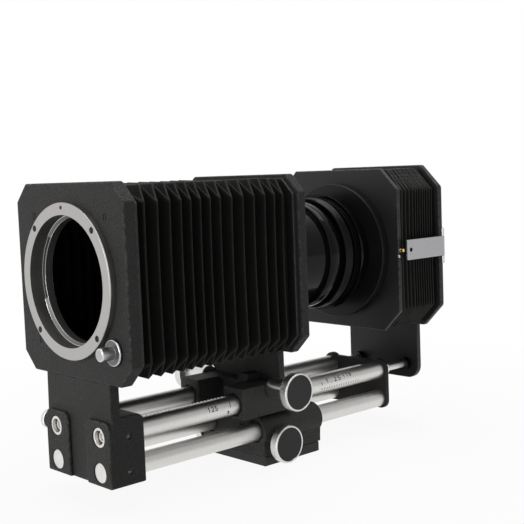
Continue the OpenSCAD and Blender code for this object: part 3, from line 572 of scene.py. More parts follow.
def turned_face(name, colour, centre, across, low, high, metallic, depth=1.0e-5):
    """A face cut on the lathe: rings round a centre; across keeps only the two axes of the face."""
    sheet, shader, place = start_material(name)
    moved = sheet.vector("SUBTRACT", {0: place, 1: centre})
    rings = sheet.use("turning_marks", Vector=sheet.stretch(moved, across))
    marks = sheet.use("handling_marks", Vector=place, Low=low, High=high)
    final = sheet.mix(rings["Mask"], rgba(colour, 0.9), rgba(colour, 1.1))
    sheet.feed(shader, {"Base Color": final, "Roughness": marks["Roughness"], "Metallic": metallic,
                        "Specular IOR Level": 0.2, "Normal": sheet.bump(rings["Height"], depth)})


def cloth(name, colour, ridge_wear_and_highlight_colour, specular=0.10):
    """Rubberised cloth: faint weave through the coating, lighter and shinier along the outer folds, where the
    lighter colour is partly scuffing from use and partly a painted highlight on the ridges. The fold attribute is
    1 on a ridge and 0 in a valley."""
    sheet, shader, _ = start_material(name)
    place = sheet.node("ShaderNodeUVMap", uv_map="cloth_map").outputs["UV"]
    relief = sheet.use("cloth_relief", Vector=place, Threads=2600.0)
    patchy = sheet.span(sheet.noise(place, 150.0, 5.0, 0.65), 0.25, 0.7, 0.35, 1.0)
    ridge = sheet.times(sheet.span(sheet.attribute("fold"), 0.35, 1.0), patchy)
    toned = sheet.mix(relief["Tone"], rgba(colour, 0.8), rgba(colour, 1.25))
    sheet.feed(shader, {"Base Color": sheet.mix(ridge, toned, rgba(ridge_wear_and_highlight_colour)), "Specular IOR Level": specular,
                        "Roughness": sheet.span(ridge, 0.0, 1.0, 0.70, 0.40),
                        "Normal": sheet.bump(relief["Height"], 6.0e-5)})


def make_finishes(c):
    """Each material by name: its colour, lowest and highest roughness, then relief and wear."""
    paint("wrinkle_paint", c.wrinkle, 0.48, 0.56, 1500.0, 3.0e-4, 0.35, 0.22, 0.15, 0.75)
    paint("block_paint", c.block, 0.48, 0.56, 1500.0, 3.0e-4, 0.35, 0.22, crest_highlight=0.75)
    paint("smooth_paint", c.smooth, 0.36, 0.46, 2600.0, 3.0e-5, 0.4, 0.18, 0.28)
    paint("black_inlay", c.inlay, 0.40, 0.55, 2600.0, 2.0e-5, dust=0.10)
    paint("red_paint", c.red, 0.40, 0.55, 2200.0, 2.0e-5, dust=0.10)
    paint("cloth_lining", (0.004, 0.004, 0.004), 0.75, 0.85, 3000.0, 2.0e-5, specular=0.05)
    paint("engraving", (0.006, 0.006, 0.006), 0.5, 0.7, 3000.0, 2.0e-5, specular=0.1)
    lacquer("gloss_black", c.gloss, 0.06, 0.14, 0.13)
    lacquer("satin_black", c.flange, 0.30, 0.40, 0.2)
    metal("satin_chrome", c.chrome, 0.38, 0.48, 0.10, (1.0, 0.06, 0.06), 5200.0, 5.0e-6)
    metal("lip_metal", c.lip, 0.50, 0.60, 0.15)
    metal("bore_metal", c.bore, 0.46, 0.56, 0.12)
    metal("button_metal", c.button, 0.22, 0.34, 0.12)
    metal("sleeve_metal", c.sleeve, 0.26, 0.38, 0.12)
    metal("bright_chrome", c.bright, 0.10, 0.18, 0.06, (1.0, 0.2, 0.2), 3600.0, 2.0e-6)
    metal("bright_aluminium", c.aluminium, 0.26, 0.38, 0.08, (0.35, 1.0, 0.35))
    metal("brushed_aluminium", c.brushed, 0.34, 0.46, 0.05, (0.08, 1.0, 1.0), 4200.0)
    metal("steel", c.steel, 0.22, 0.36, 0.15, (1.0, 1.0, 0.3))
    metal("dark_steel", c.dark_steel, 0.35, 0.5, 0.2, lines=2200.0, depth=1.0e-5)
    # bushes in near-black bronze: painted shade in the gaps round the tubes
    metal("bronze", c.bronze, 0.28, 0.42, 0.3, (1.0, 0.3, 0.3), 3000.0)
    metal("brass", c.brass, 0.18, 0.30, 0.15, (1.0, 0.3, 0.3), 3000.0, 5.0e-6)
    turned_face("ring_face", c.ring, (0.0, 0.0, AXIS_Z), (0.0, 1.0, 1.0), 0.24, 0.36, 1.0)
    for tag, centre in KNOBS.items():
        turned_face(tag + "_knob_face", c.inlay, centre, (1.0, 0.0, 1.0), 0.36, 0.48, 0.0, 1.6e-5)
    # the second colour is that of the outer folds: scuffed cloth with a painted ridge highlight
    cloth("bellows_cloth", c.cloth, (0.042, 0.041, 0.039))
    # the hood cloth and its fold colour are lightened, partly as painted light from the floor
    cloth("hood_cloth", c.hood_cloth, (0.058, 0.057, 0.054), 0.2)


def dress_nodes():
    """Every CAD node gets the material of its slot, with smooth shading between its sharp edges."""
    for row in frame["record"]["subparts"]:
        node = frame["nodes"][row["node"]]
        node.data.materials.clear()
        node.data.materials.append(bpy.data.materials[row["material_slot"]])
        node.data.shade_smooth()


def slot_of(node):
    return next(r["material_slot"] for r in frame["record"]["subparts"] if r["node"] == node)


def body_of(node):
    return frame["nodes"][node]["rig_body"]


# ---------------------------------------------------------------- pieces

def clean_copy(node):
    """A bmesh of the node with its loose triangles merged and its flat areas joined."""
    mesh = frame["nodes"][node].data.copy()
    for layer in list(mesh.attributes):
        if layer.name in ("custom_normal", "sharp_face", "sharp_edge"):
            mesh.attributes.remove(layer)
    work = bmesh.new()
    work.from_mesh(mesh)
    bpy.data.meshes.remove(mesh)
    bmesh.ops.remove_doubles(work, verts=work.verts, dist=2e-6)
    bmesh.ops.dissolve_limit(work, angle_limit=math.radians(0.6), verts=work.verts, edges=work.edges)
    return work


def finish_copy(node, work, materials, angle, rides=True):
    """Turns the bmesh into the piece that stands for the node."""
    mesh = bpy.data.meshes.new(node + "_rounded")
    work.to_mesh(mesh)
    work.free()
    piece = show(node + "_rounded", mesh, materials, angle)
    if rides:
        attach(piece, body_of(node))
    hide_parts(node)
    return piece


def modify(piece, name, kind, **options):
    made = piece.modifiers.new(name, kind)
    for key, value in options.items():
        setattr(made, key, value)


def flatten_shading(piece, keep_sharp):
    modify(piece, "flat_faces", "WEIGHTED_NORMAL", weight=60, keep_sharp=keep_sharp)


def rounded_copy(node, width, material=None, segments=2, rim_highlight_material=None):
    """The node's own shape with its sharp edges rounded by a live bevel. The rounded edges can take a brighter
    second material: partly a polished rim, partly a painted rim highlight.
    """
    materials = [material or slot_of(node)] + ([rim_highlight_material] if rim_highlight_material else [])
    piece = finish_copy(node, clean_copy(node), materials, SHARP)
    modify(piece, "edge_round", "BEVEL", width=width, segments=segments, limit_method="ANGLE",
           angle_limit=math.radians(SHARP), use_clamp_overlap=True, material=1 if rim_highlight_material else -1)
    flatten_shading(piece, False)
    return piece


def line_bore(piece, material, radius):
    """Gives the faces of a bore along the optical axis, up to that radius, a material of their own."""
    mesh = piece.data
    mesh.materials.append(bpy.data.materials[material])
    for face in mesh.polygons:
        away = math.hypot(face.center.y, face.center.z - AXIS_Z)
        face.material_index = int(abs(face.normal.x) < 0.5 and away < radius)


def sharp_edges(work):
    """Edges that stick out and are sharp."""
    return [e for e in work.edges
            if len(e.link_faces) == 2 and e.is_convex and e.calc_face_angle(0) > math.radians(SHARP)]


def long_edges(edges, shortest):
    """The edges that lie in smooth runs at least as long as given. Edges that meet end to end with
    less than 25 degrees between them are one run. In a run of nothing but short edges, which is the
    rim of a bore, none is kept."""
    at_vertex = {}
    for edge in edges:
        for vertex in edge.verts:
            at_vertex.setdefault(vertex, []).append(edge)
    run_of = {edge: edge for edge in edges}

    def root(edge):
        while run_of[edge] is not edge:
            run_of[edge] = run_of[run_of[edge]]
            edge = run_of[edge]
        return edge

    for vertex, meeting in at_vertex.items():
        for k, first in enumerate(meeting):
            for second in meeting[k + 1:]:
                out = first.other_vert(vertex).co - vertex.co
                back = vertex.co - second.other_vert(vertex).co
                if out.angle(back, 3.0) < math.radians(25):
                    run_of[root(first)] = root(second)
    total, longest = {}, {}
    for edge in edges:
        key, length = root(edge), edge.calc_length()
        total[key] = total.get(key, 0) + length
        longest[key] = max(longest.get(key, 0), length)
    return [e for e in edges if total[root(e)] >= shortest and longest[root(e)] >= RIM_EDGE]


def worn_and_highlit_copy(node, wide, small, material=None, segments=4, shortest=0.009, below=1.0):
    """The node's own shape, rounded in two passes: long edges that start under the height below by wide, then what
    is still sharp by small. The faces that rounding makes carry edge_wear_and_highlight = 1, where paint comes off
    and where a painted edge highlight lies."""
    work = clean_copy(node)
    layer = work.faces.layers.float.new("edge_wear_and_highlight")
    for width, steps in ((wide, segments), (small, 2)):
        edges = sharp_edges(work)
        if width == wide:
            edges = [e for e in long_edges(edges, shortest) if min(v.co.z for v in e.verts) < below]
        if edges:
            made = bmesh.ops.bevel(work, geom=edges, offset=width, offset_type="OFFSET", segments=steps,
                                   profile=0.5, affect="EDGES", clamp_overlap=False, material=-1)
            for face in made["faces"]:
                face[layer] = 1.0
    piece = finish_copy(node, work, [material or slot_of(node)], 60)
    flatten_shading(piece, True)
    return piece


def rounded_loop(corners, reach, steps):
    """A closed outline with each corner replaced by a small arc: the quadratic curve from reach
    before the corner to reach after it, with the corner as its control point."""
    corners = np.asarray(corners, float)
    before, after = np.roll(corners, 1, 0) - corners, np.roll(corners, -1, 0) - corners
    start = corners + before / np.linalg.norm(before, axis=1)[:, None] * reach
    end = corners + after / np.linalg.norm(after, axis=1)[:, None] * reach
    t = np.linspace(0, 1, steps + 1)[None, :, None]
    arcs = (1 - t) ** 2 * start[:, None] + 2 * t * (1 - t) * corners[:, None] + t * t * end[:, None]
    return arcs.reshape(-1, 2)


def octagon(half_width, half_height, cut):
    """The eight corners (y, z) of a rectangle with cut corners, anticlockwise."""
    w, h, c = half_width, half_height, cut
    return [(w, c - h), (w, h - c), (w - c, h), (c - w, h), (-w, h - c), (-w, c - h), (c - w, -h), (w - c, -h)]


def frame_ring(outer, inner, x0, x1, rounding, steps=4):
    """A frame between two outlines. Point(s, k) lies at share s between point k of the outer and of
    the inner outline and at station x; (s, x) goes once round a rectangle with rounded corners.
    Returns points, faces and which faces belong to the rounded corners."""
    width = np.linalg.norm(outer[0] - inner[0])
    a = rounding / width
    section, round_row = [], []
    quarter = np.linspace(0, np.pi / 2, steps + 1)
    low, high = x0 + rounding, x1 - rounding
    for k, (s, x) in enumerate(((a, low), (1 - a, low), (1 - a, high), (a, high))):
        turn = quarter + (np.pi + k * np.pi / 2)
        section += [(s + a * np.cos(t), x + rounding * np.sin(t)) for t in turn]
        round_row += [True] * steps + [False]
    section = np.array(section)
    flat = outer[None] * (1 - section[:, :1, None]) + inner[None] * section[:, :1, None]
    x = np.broadcast_to(section[:, 1:2], flat.shape[:2])
    points = np.stack([x, flat[..., 0], flat[..., 1]], -1)
    faces = grid_faces(len(section), len(outer), True, True)
    return points.reshape(-1, 3), faces, np.repeat(round_row, len(outer))


def map_cloth(mesh, points):
    """The map of the weave: u runs along the bellows, v once round it, both in metres."""
    step_x = np.linalg.norm(np.diff(points[:, :1], axis=0), axis=-1)
    along = np.concatenate([[0], np.cumsum(step_x[:, 0])])
    ring = np.vstack([points[0], points[:1, 0]])
    around = np.concatenate([[0], np.cumsum(np.linalg.norm(np.diff(ring, axis=0), axis=-1))])
    columns = points.shape[1]
    uv = mesh.uv_layers.new(name="cloth_map")
    corners = np.zeros(len(mesh.loops), np.int32)
    mesh.loops.foreach_get("vertex_index", corners)
    row, column = corners // columns, corners % columns
    # the seam's last column of quads ends at the full way round, not back at zero
    face_first = column.reshape(-1, 4)
    wraps = (face_first.max(1) == columns - 1) & (face_first.min(1) == 0)
    column = np.where(np.repeat(wraps, 4) & (column == 0), columns, column)
    uv.data.foreach_set("uv", np.stack([along[row], around[column]], -1).astype(np.float32).ravel())


def folded_cloth(name, ridges, start, end, size, steps, material, seed, bow):
    """Accordion of cloth over an octagon. Point(x, t) = the octagon's outline taken in by
    inset(x, t) = depth * | |fold(x)| - t |, where fold(x) runs from -1 to 1 between two valleys of a
    side face and is 0 on its ridge, and t is 0 on a side face, 1 on the top and bottom and grows
    from 0 to 1 across each cut corner. The fold lines so run slantwise over the cut corners, and the
    ridges of the top lie over the valleys of the sides. At the two clamped ends the inset is depth
    at every t. Small seeded waves make the folds uneven, and each face bows in by bow at its middle."""
    half_width, half_height, cut, depth, lift = size
    valleys = np.concatenate([[start], (ridges[1:] + ridges[:-1]) / 2, [end]])
    turns = np.empty(2 * len(ridges) + 1)
    turns[0::2], turns[1::2] = valleys, ridges
    part_way = np.linspace(0, 1, steps + 1)[:-1]
    x = np.concatenate([(a + (b - a) * part_way) for a, b in zip(turns[:-1], turns[1:])] + [[end]])
    phase = np.abs((np.arange(len(x)) / steps) % 2 - 1)          # 1 in a side valley, 0 on a side ridge

    # once round, from the middle of the far side over the top: quarters 0 and 2 are the sides, 1 the
    # top and 3 the bottom, each with the cut corner after it
    face, turn = np.linspace(-1, 1, SIDE_STEPS + 1)[:-1], np.linspace(0, 1, steps + 1)[:-1]
    place = np.tile(np.concatenate([face, turn]), 4)
    corner = np.tile(np.arange(len(face) + len(turn)) >= len(face), 4)
    quarter = np.repeat(np.arange(4), len(face) + len(turn))
    from_side = quarter % 2 == 0
    t = np.where(corner, np.where(from_side, place, 1 - place), np.where(from_side, 0.0, 1.0))

    q = phase[:, None] - t[None, :]
    soft, ridge_wear_and_highlight_width, unevenness = 0.055, 0.16, 0.00030          # crests' rounding, width of the ridges' scuffing and painted highlight, waves
    inset = depth * (np.sqrt(q * q + soft * soft) - soft) / (math.sqrt(1 + soft * soft) - soft)
    clamp = np.clip(np.minimum(x - x[0], x[-1] - x) / (turns[1] - turns[0]), 0, 1)[:, None]
    inset = inset * clamp + depth * (1 - clamp)

    rng = np.random.default_rng(seed)
    angle = np.arange(len(t)) / len(t) * 2 * np.pi
    shake = np.zeros_like(inset)
    for wave in range(1, 5):
        strength, _, shift = rng.normal(0, 1, (3, len(x)))
        kernel = np.hanning(2 * steps + 1)
        strength = np.convolve(strength, kernel / kernel.sum(), "same")
        shake += unevenness / wave * strength[:, None] * np.cos(wave * angle[None, :] + shift[len(x) // 2] * wave)
    side_middle = np.where(corner, 0.0, 1 - place ** 2)
    inset = inset + (shake * clamp) + bow * side_middle[None, :] * clamp

    run = math.sqrt(2) - 1
    side_point = np.stack([half_width - inset, half_height - cut - run * inset], -1)
    flat_point = np.stack([half_width - cut - run * inset, half_height - inset], -1)
    edge = side_point * (1 - t[:, None]) + flat_point * t[:, None]
    y_sign, z_sign = np.array([1, -1, -1, 1])[quarter], np.array([1, 1, -1, -1])[quarter]
    first = edge[..., 0] * np.where(corner | from_side, y_sign, -z_sign * place)
    second = edge[..., 1] * np.where(corner | ~from_side, z_sign, y_sign * place)

    points = np.stack([np.broadcast_to(x[:, None] - STATION, first.shape), first, second + AXIS_Z + lift], -1)
    faces = grid_faces(*first.shape, False, True)
    piece = add_piece(name, points, faces, material, sharp=180, weld=False)
    mesh = piece.data
    with editing(mesh) as work:
        bmesh.ops.recalc_face_normals(work, faces=work.faces)

    # ridge mask: where the cloth is scuffed and where its painted ridge highlight lies
    ridge = np.exp(-(q / ridge_wear_and_highlight_width) ** 2) * clamp
    fold = mesh.attributes.new("fold", "FLOAT", "POINT")
    fold.data.foreach_set("value", ridge.astype(np.float32).ravel())
    map_cloth(mesh, points)
    return piece


def cross_joint(piece, node, first, second):
    """A bellows or spring spans a joint. Its turns share the travel, so from one end of the node's box
    to the other the weight grows in a straight line."""
    start, end = (corner.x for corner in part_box(node))
    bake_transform(piece, first, second, (start, 0, AXIS_Z), (end, 0, AXIS_Z))
    x = np.empty(len(piece.data.vertices) * 3, np.float32)
    piece.data.vertices.foreach_get("co", x)
    weight = np.clip((x[0::3] - start) / (end - start), 0, 1)
    piece.data.attributes["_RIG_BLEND"].data.foreach_set("value", weight.astype(np.float32))


def bellows(node, ridges, size, steps, material, seed, bow, thickness, first, second):
    """Folded cloth with its thickness in place of the node; the inner side is the matt lining."""
    start, end = (corner.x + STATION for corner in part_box(node))
    piece = folded_cloth(node + "_cloth", ridges, start, end, size, steps, material, seed, bow)
    piece.data.materials.append(bpy.data.materials["cloth_lining"])
    modify(piece, "cloth_thickness", "SOLIDIFY", material_offset=1, thickness=thickness, offset=-1.0,
           use_even_offset=False)
    cross_joint(piece, node, first, second)
    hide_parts(node)


def add_turned(name, node, material, sharp, *turning):
    """A surface of revolution that takes the place of a node."""
    points, faces = turned(*turning)
    take_place(add_piece(name, points, faces, material, sharp), node)


def knob(name, centre, side, hub_radius, hub_y, back_y, replaced, k):
    """Hub and knurled head of a focusing knob, turned about Y, with a recess for its face disc."""
    face_y = back_y + HEAD_LENGTH
    r, e, hole, floor = KNOB_RADIUS, k.edge, 0.0016, face_y - 0.0007
    corners = [
        (hole, hub_y), (hub_radius - 0.0003, hub_y), (hub_radius, hub_y + 0.0003), (hub_radius, back_y),
        (r - e, back_y), (r, back_y + e, 1), (r, face_y - e, 1), (r - e * 0.7, face_y),
        (RECESS + 0.0002, face_y), (RECESS, face_y - 0.0002), (RECESS, floor), (hole, floor), (hole, hub_y)]
    shape = rounded_profile([(c[0], c[1], c[2] if len(c) > 2 else 0) for c in corners], 0.00025, 3)
    # the knurling fades out over its chamfers
    shape[:, 2] = np.where(shape[:, 0] > r - e * 0.45, np.clip(shape[:, 2] * 1.4, 0, 1), 0)
    shape[:, 1] *= side
    add_turned(name, replaced, "bright_aluminium", 40, shape[:-1], k.teeth * 6, "y", centre, k.teeth, k.knurl)


def face_disc(name, centre, face_y, replaced, material):
    """Slightly dished face discs of a pair of knobs: the face sinks by the square of the distance
    from the rim, to 0.1 mm in its middle."""
    parts = []
    radius = np.linspace(0, 0.00885, 14)
    dish = 0.0001 * (1 - (radius / radius[-1]) ** 2)
    front = np.stack([radius, face_y - dish, np.zeros(14)], -1)
    rim = [(r, face_y - down, 0) for r, down in
           ((0.00888, 0.00004), (RECESS, 0.0001), (RECESS, 0.00055), (0.0, 0.00055))]
    for side in (1, -1):
        shape = np.vstack([front, rim])
        shape[:, 1] *= side
        parts.append(turned(shape, 96, "y", centre))
    points, faces = join(parts)
    take_place(add_piece(name, points, faces, material, sharp=40), replaced)


# numbers of the scale, as strokes in a box one unit high
STROKES = {
    "1": [[(0.15, 0.75), (0.32, 1), (0.32, 0)]],
    "2": [[(0.1, 0.8), (0.3, 1), (0.5, 0.8), (0.5, 0.6), (0.1, 0), (0.52, 0)]],
    "3": [[(0.1, 0.95), (0.35, 1), (0.5, 0.8), (0.28, 0.55), (0.52, 0.3), (0.35, 0), (0.08, 0.05)]],
    "5": [[(0.5, 1), (0.15, 1), (0.12, 0.58), (0.35, 0.62), (0.52, 0.4), (0.45, 0.08), (0.25, 0), (0.08, 0.1)]],
    "6": [[(0.45, 0.95), (0.2, 0.7), (0.1, 0.3), (0.2, 0.02), (0.42, 0.02), (0.52, 0.25), (0.42, 0.5),
           (0.2, 0.5), (0.11, 0.35)]],
    ".": [[(0.26, 0), (0.26, 0.07)]],
}


def tube_strokes(lines, width, radius):
    """Engraved lines on a tube: each segment is a strip of the given width. Point(s, w) = the
    segment's point s plus w times its flat normal, and the flat place (along, arc) is rolled onto
    the tube at angle arc / radius above the side that faces the near end of Y."""
    parts = []
    across = np.linspace(-0.5, 0.5, 3)
    for line in lines:
        line = np.asarray(line, float)
        for a, b in zip(line[:-1], line[1:]):
            length = np.linalg.norm(b - a)
            direction = (b - a) / length
            normal = np.array([-direction[1], direction[0]])
            part_way = np.linspace(-width / 2 / length, 1 + width / 2 / length, 6)
            flat = a + (b - a) * part_way[:, None, None] + normal * (width * across)[None, :, None]
            angle = flat[..., 1] / radius
            place = np.stack([flat[..., 0] - STATION,
                              -ROD_Y - radius * np.cos(angle),
                              UPPER_Z + radius * np.sin(angle)], -1)
            parts.append((place.reshape(-1, 3), grid_faces(6, 3)))
    return join(parts)


def turn_outwards(piece):
    """Turns round the faces of the scale that look at the tube's axis."""
    with editing(piece.data) as work:
        work.normal_update()
        middles = ((f, f.calc_center_median()) for f in work.faces)
        inward = [f for f, at in middles if f.normal.dot(at - Vector((at.x, -ROD_Y, UPPER_Z))) < 0]
        bmesh.ops.reverse_faces(work, faces=inward)


# ---------------------------------------------------------------- operators

def seen_rays(sheet):
    """What kind each ray is, and 1 where the eye would see it, straight, in gloss or through glass."""
    ray = sheet.node("ShaderNodeLightPath").outputs
    either = sheet.math("MAXIMUM", ray["Is Camera Ray"], ray["Is Glossy Ray"])
    return ray, sheet.math("MAXIMUM", either, ray["Is Transmission Ray"])


def make_world(s):
    """A white room to the eye. Gloss sees its unlit side, beyond the hood on the near side, as grey,
    and matt surfaces get an even light from it."""
    world = bpy.data.worlds.new("white_room")
    sheet = bare_sheet(world)
    ray, seen = seen_rays(sheet)
    inputs = {0: sheet.node("ShaderNodeTexCoord").outputs["Generated"], 1: (0.5, -0.866, 0.0)}
    room = sheet.span(sheet.vector("DOT_PRODUCT", inputs, "Value"), 0.15, 0.80, 1.0, s.dark_side)
    level = sheet.times(seen, sheet.math("MAXIMUM", room, ray["Is Camera Ray"]))
    power = sheet.plus(level, sheet.times(sheet.less(seen), s.ambient))
    light = sheet.node("ShaderNodeBackground", {"Color": (1, 1, 1, 1), "Strength": power})
    sheet.node("ShaderNodeOutputWorld", {"Surface": light.outputs[0]})
    return world


def make_floor(s):
    """A floor that the eye sees as white, with a faint shadow that fades out 0.42 m away."""
    material = bpy.data.materials.new("pale_floor")
    sheet = bare_sheet(material)
    seen = seen_rays(sheet)[1]
    glow = sheet.node("ShaderNodeEmission", {"Color": (1, 1, 1, 1), "Strength": 1.0}).outputs[0]
    matt = sheet.node("ShaderNodeBsdfDiffuse", {"Color": (0.9, 0.9, 0.9, 1)}).outputs[0]
    away = sheet.vector("LENGTH", {0: sheet.node("ShaderNodeTexCoord").outputs["Object"]}, "Value")
    near = sheet.span(away, 0.12, 0.42, s.shadow, 0.0)
    shown = sheet.times(seen, sheet.less(near))
    both = sheet.node("ShaderNodeMixShader", {0: shown, 1: matt, 2: glow})
    sheet.node("ShaderNodeOutputMaterial", {"Surface": both.outputs[0]})
    mesh = bpy.data.meshes.new("floor")
    corners = [(x, y, -0.0002) for x, y in ((-4, -4), (4, -4), (4, 4), (-4, 4))]
    mesh.from_pydata(corners, [], [(0, 1, 2, 3)])
    mesh.materials.append(material)
    return bpy.data.objects.new("floor", mesh)


class MakeStage(bpy.types.Operator):
    """Pale floor, white surroundings, two softboxes and the camera"""

    bl_idname = "bellows_unit.stage"
    bl_label = "Stage"

    def execute(self, context):
        s = settings().stage
        scene = context.scene
        scene.view_settings.view_transform = "Standard"
        for other in [o for o in scene.objects if o.type in ("LIGHT", "CAMERA")]:
            bpy.data.objects.remove(other)
        scene.world = make_world(s)
        floor = make_floor(s)
        scene.collection.objects.link(floor)

        for name, power, size, place in (
            ("softbox_key", s.key_power, 0.6, (-1.20, 0.05, 0.26)),
            ("softbox_top", s.top_power, 0.8, (0.10, 0.0, 1.05)),
        ):
            lamp = bpy.data.lights.new(name, "AREA")
            lamp.energy, lamp.size = power, size
            holder = bpy.data.objects.new(name, lamp)
            holder.location = place
            aim = Vector((0, 0, 0.08)) - Vector(place)
            holder.rotation_euler = aim.to_track_quat("-Z", "Y").to_euler()
            scene.collection.objects.link(holder)

        # the camera's place and directions, as fitted to the photograph
        lens = bpy.data.cameras.new("camera")
        lens.lens, lens.sensor_width, lens.sensor_fit = s.focal_length, 36.0, "HORIZONTAL"
        lens.clip_start, lens.clip_end = 0.01, 20.0
        camera = bpy.data.objects.new("camera", lens)
        right, up = Vector((0.73246, -0.67976, -0.03790)), Vector((0.08865, 0.04003, 0.99526))
        turn = Matrix((right, up, right.cross(up).normalized())).transposed()
        camera.matrix_world = Matrix.Translation((-0.37583, -0.41365, 0.15597)) @ turn.to_4x4()
        scene.collection.objects.link(camera)
        scene.camera = camera
        return {"FINISHED"}


class MakeFinishes(bpy.types.Operator):
    """Materials of all parts, and their place on the CAD nodes"""

    bl_idname = "bellows_unit.finishes"
    bl_label = "Finishes"

    def execute(self, context):
        make_groups()
        make_finishes(settings().finish)
        dress_nodes()
        return {"FINISHED"}


class MakeBellows(bpy.types.Operator):
    """The long bellows between the plates and the short one of the hood"""

    bl_idname = "bellows_unit.bellows"
    bl_label = "Bellows"

    def execute(self, context):
        s = settings().bellows
        i = np.arange(s.ridges)
        ridges = s.first_ridge + s.pitch * i + s.unevenness * np.sin(2 * np.pi * i / 9)
        size = (s.half_width, s.half_height, s.cut, s.depth, 0.0)
        bellows("main_bellows", ridges, size, 8, "bellows_cloth", 7, 0.0006, s.cloth, "rails", "mid_standard")

        s = settings().hood
        i = np.arange(s.ridges)
        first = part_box("hood_bellows")[0].x + STATION + s.first_ridge
        ridges = first + s.open_pitch * np.minimum(i, 3) + s.pitch * np.maximum(i - 3, 0)
        size = (s.half_size, s.half_size, s.cut, s.depth, 0.00085)
        bellows("hood_bellows", ridges, size, 6, "hood_cloth", 11, 0.0004, s.cloth, "hood_rear", "hood_carrier")
        return {"FINISHED"}


class RoundEdges(bpy.types.Operator):
    """Castings, plates and fittings with rounded edges in place of the plain solids"""

    bl_idname = "bellows_unit.round_edges"
    bl_label = "Rounded parts"

    def execute(self, context):
        e = settings().edges
        worn_and_highlit_copy("front_foot", e.foot, e.small, below=FOOT_TOP)
        for node in ("mid_carriage", "tripod_block"):
            worn_and_highlit_copy(node, e.casting, e.small, "block_paint", shortest=0.0045)
        for node in ("front_plate", "mid_plate"):
            worn_and_highlit_copy(node, e.standard, e.small, shortest=0.005)
        worn_and_highlit_copy("hood_rear_plate", e.frame, e.small)
        for node in ("hood_leg", "front_bellows_frame", "rear_bellows_frame", "tripod_shoe", "end_plate"):
            worn_and_highlit_copy(node, e.plate, e.small, segments=3)
        for node in ("rear_mount_ring", "front_plate_screws", "rear_plate_screws", "end_plate_screws",
                     "shoe_screws", "hood_leg_screws", "near_lower_rod", "far_lower_rod", "near_upper_tube",
                     "far_upper_tube", "rod_guide_bushes", "leg_bushes", "hood_rods", "strap_hinge_ears",
                     "strap_pin", "lock_screw", "socket_bush"):
            rounded_copy(node, e.metal)
        rounded_copy("collar_flange", e.plate, "satin_black", segments=3)
        for node in ("collar_sleeve", "collar_rim"):
            line_bore(rounded_copy(node, e.metal), "cloth_lining", COLLAR_BORE)
        # face and rim materials of small metal parts; the brighter rims are partly polished metal and partly a
        # painted rim highlight
        for node, face, rim in (
            ("claw_ring", "lip_metal", "bright_chrome"),
            ("mount_ring_screws", "dark_steel", "steel"),
            ("foot_grub_screws", "dark_steel", "steel"),
            ("button_sleeve", "sleeve_metal", "bright_chrome"),
            ("release_button", "button_metal", "bright_chrome"),
        ):
            rounded_copy(node, e.metal, face, rim_highlight_material=rim)
        line_bore(rounded_copy("front_mount_ring", e.plate, "ring_face", segments=3), "bore_metal", RING_BORE)
        rounded_copy("latch_strap", e.strap, "brushed_aluminium", segments=3)
        return {"FINISHED"}


class MakeHoodFrame(bpy.types.Operator):
    """The hood's outer frame, with all its edges rounded"""

    bl_idname = "bellows_unit.hood_frame"
    bl_label = "Hood frame"

    def execute(self, context):
        low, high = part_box("hood_frame")
        middle, corner, cut = (0, (low.z + high.z) / 2), 0.0012, 0.0128
        outline, window = octagon((high.y - low.y) / 2, (high.z - low.z) / 2, cut), octagon(0.040, 0.0395, 0.008)
        outer, inner = (rounded_loop(loop, corner, 4) + middle for loop in (outline, window))
        points, faces, rounds = frame_ring(outer, inner, low.x, high.x, settings().edges.frame)
        piece = add_piece("hood_frame_rounded", points, faces, "smooth_paint", 60, False)
        # the rounded faces carry the edge patches: paint gone, and a painted edge highlight
        edge_wear_and_light = piece.data.attributes.new("edge_wear_and_highlight", "FLOAT", "FACE")
        edge_wear_and_light.data.foreach_set("value", rounds.astype(np.float32))
        flatten_shading(piece, True)
        take_place(piece, "hood_frame")
        return {"FINISHED"}


class MakeKnobs(bpy.types.Operator):
    """Four knurled focusing knobs with dished face discs, and the thumb screw's rim"""

    bl_idname = "bellows_unit.knobs"
    bl_label = "Knobs"

    def execute(self, context):
        k = settings().knobs
        # name here and in the CAD model, hub's radius, and where the hub and the head begin
        pairs = (("upper", "mid", k.upper_hub, 0.0262, 0.041), ("lower", "block", k.lower_hub, 0.0271, 0.029))
        sunk = 0.00015           # the disc lies this far under the end of the knob
        for side, end in ((-1, "near"), (1, "far")):
            for tag, wheel, hub, hub_y, head_y in pairs:
                knob(f"{tag}_knob_{end}", KNOBS[tag], side, hub, hub_y, head_y, f"{wheel}_knob_{end}", k)
        for tag, wheel, _, _, head_y in pairs:
            face_y = head_y + HEAD_LENGTH - sunk
            face_disc(f"{tag}_knob_faces", KNOBS[tag], face_y, f"{wheel}_knob_discs", f"{tag}_knob_face")

        low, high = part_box("lock_screw_rim")
        centre = ((low.x + high.x) / 2, 0, (low.z + high.z) / 2)
        r, chamfer, tip = (high.x - low.x) / 2, 0.0004, 0.0001
        half = [(tip, low.y, 0), (r - chamfer, low.y, 0), (r, low.y + chamfer, 1)]
        corners = half + [(x, low.y + high.y - y, rough) for x, y, rough in reversed(half)]
        shape = rounded_profile(corners, 0.00015, 2)
        shape[:, 2] = shape[:, 0] > r - 0.0002
        shape[0, 0] = shape[-1, 0] = 0.0
        add_turned("thumb_screw_rim", "lock_screw_rim", "bright_aluminium", 40,
                   shape, k.screw_teeth * 6, "y", centre, k.screw_teeth, k.screw_knurl)
        return {"FINISHED"}


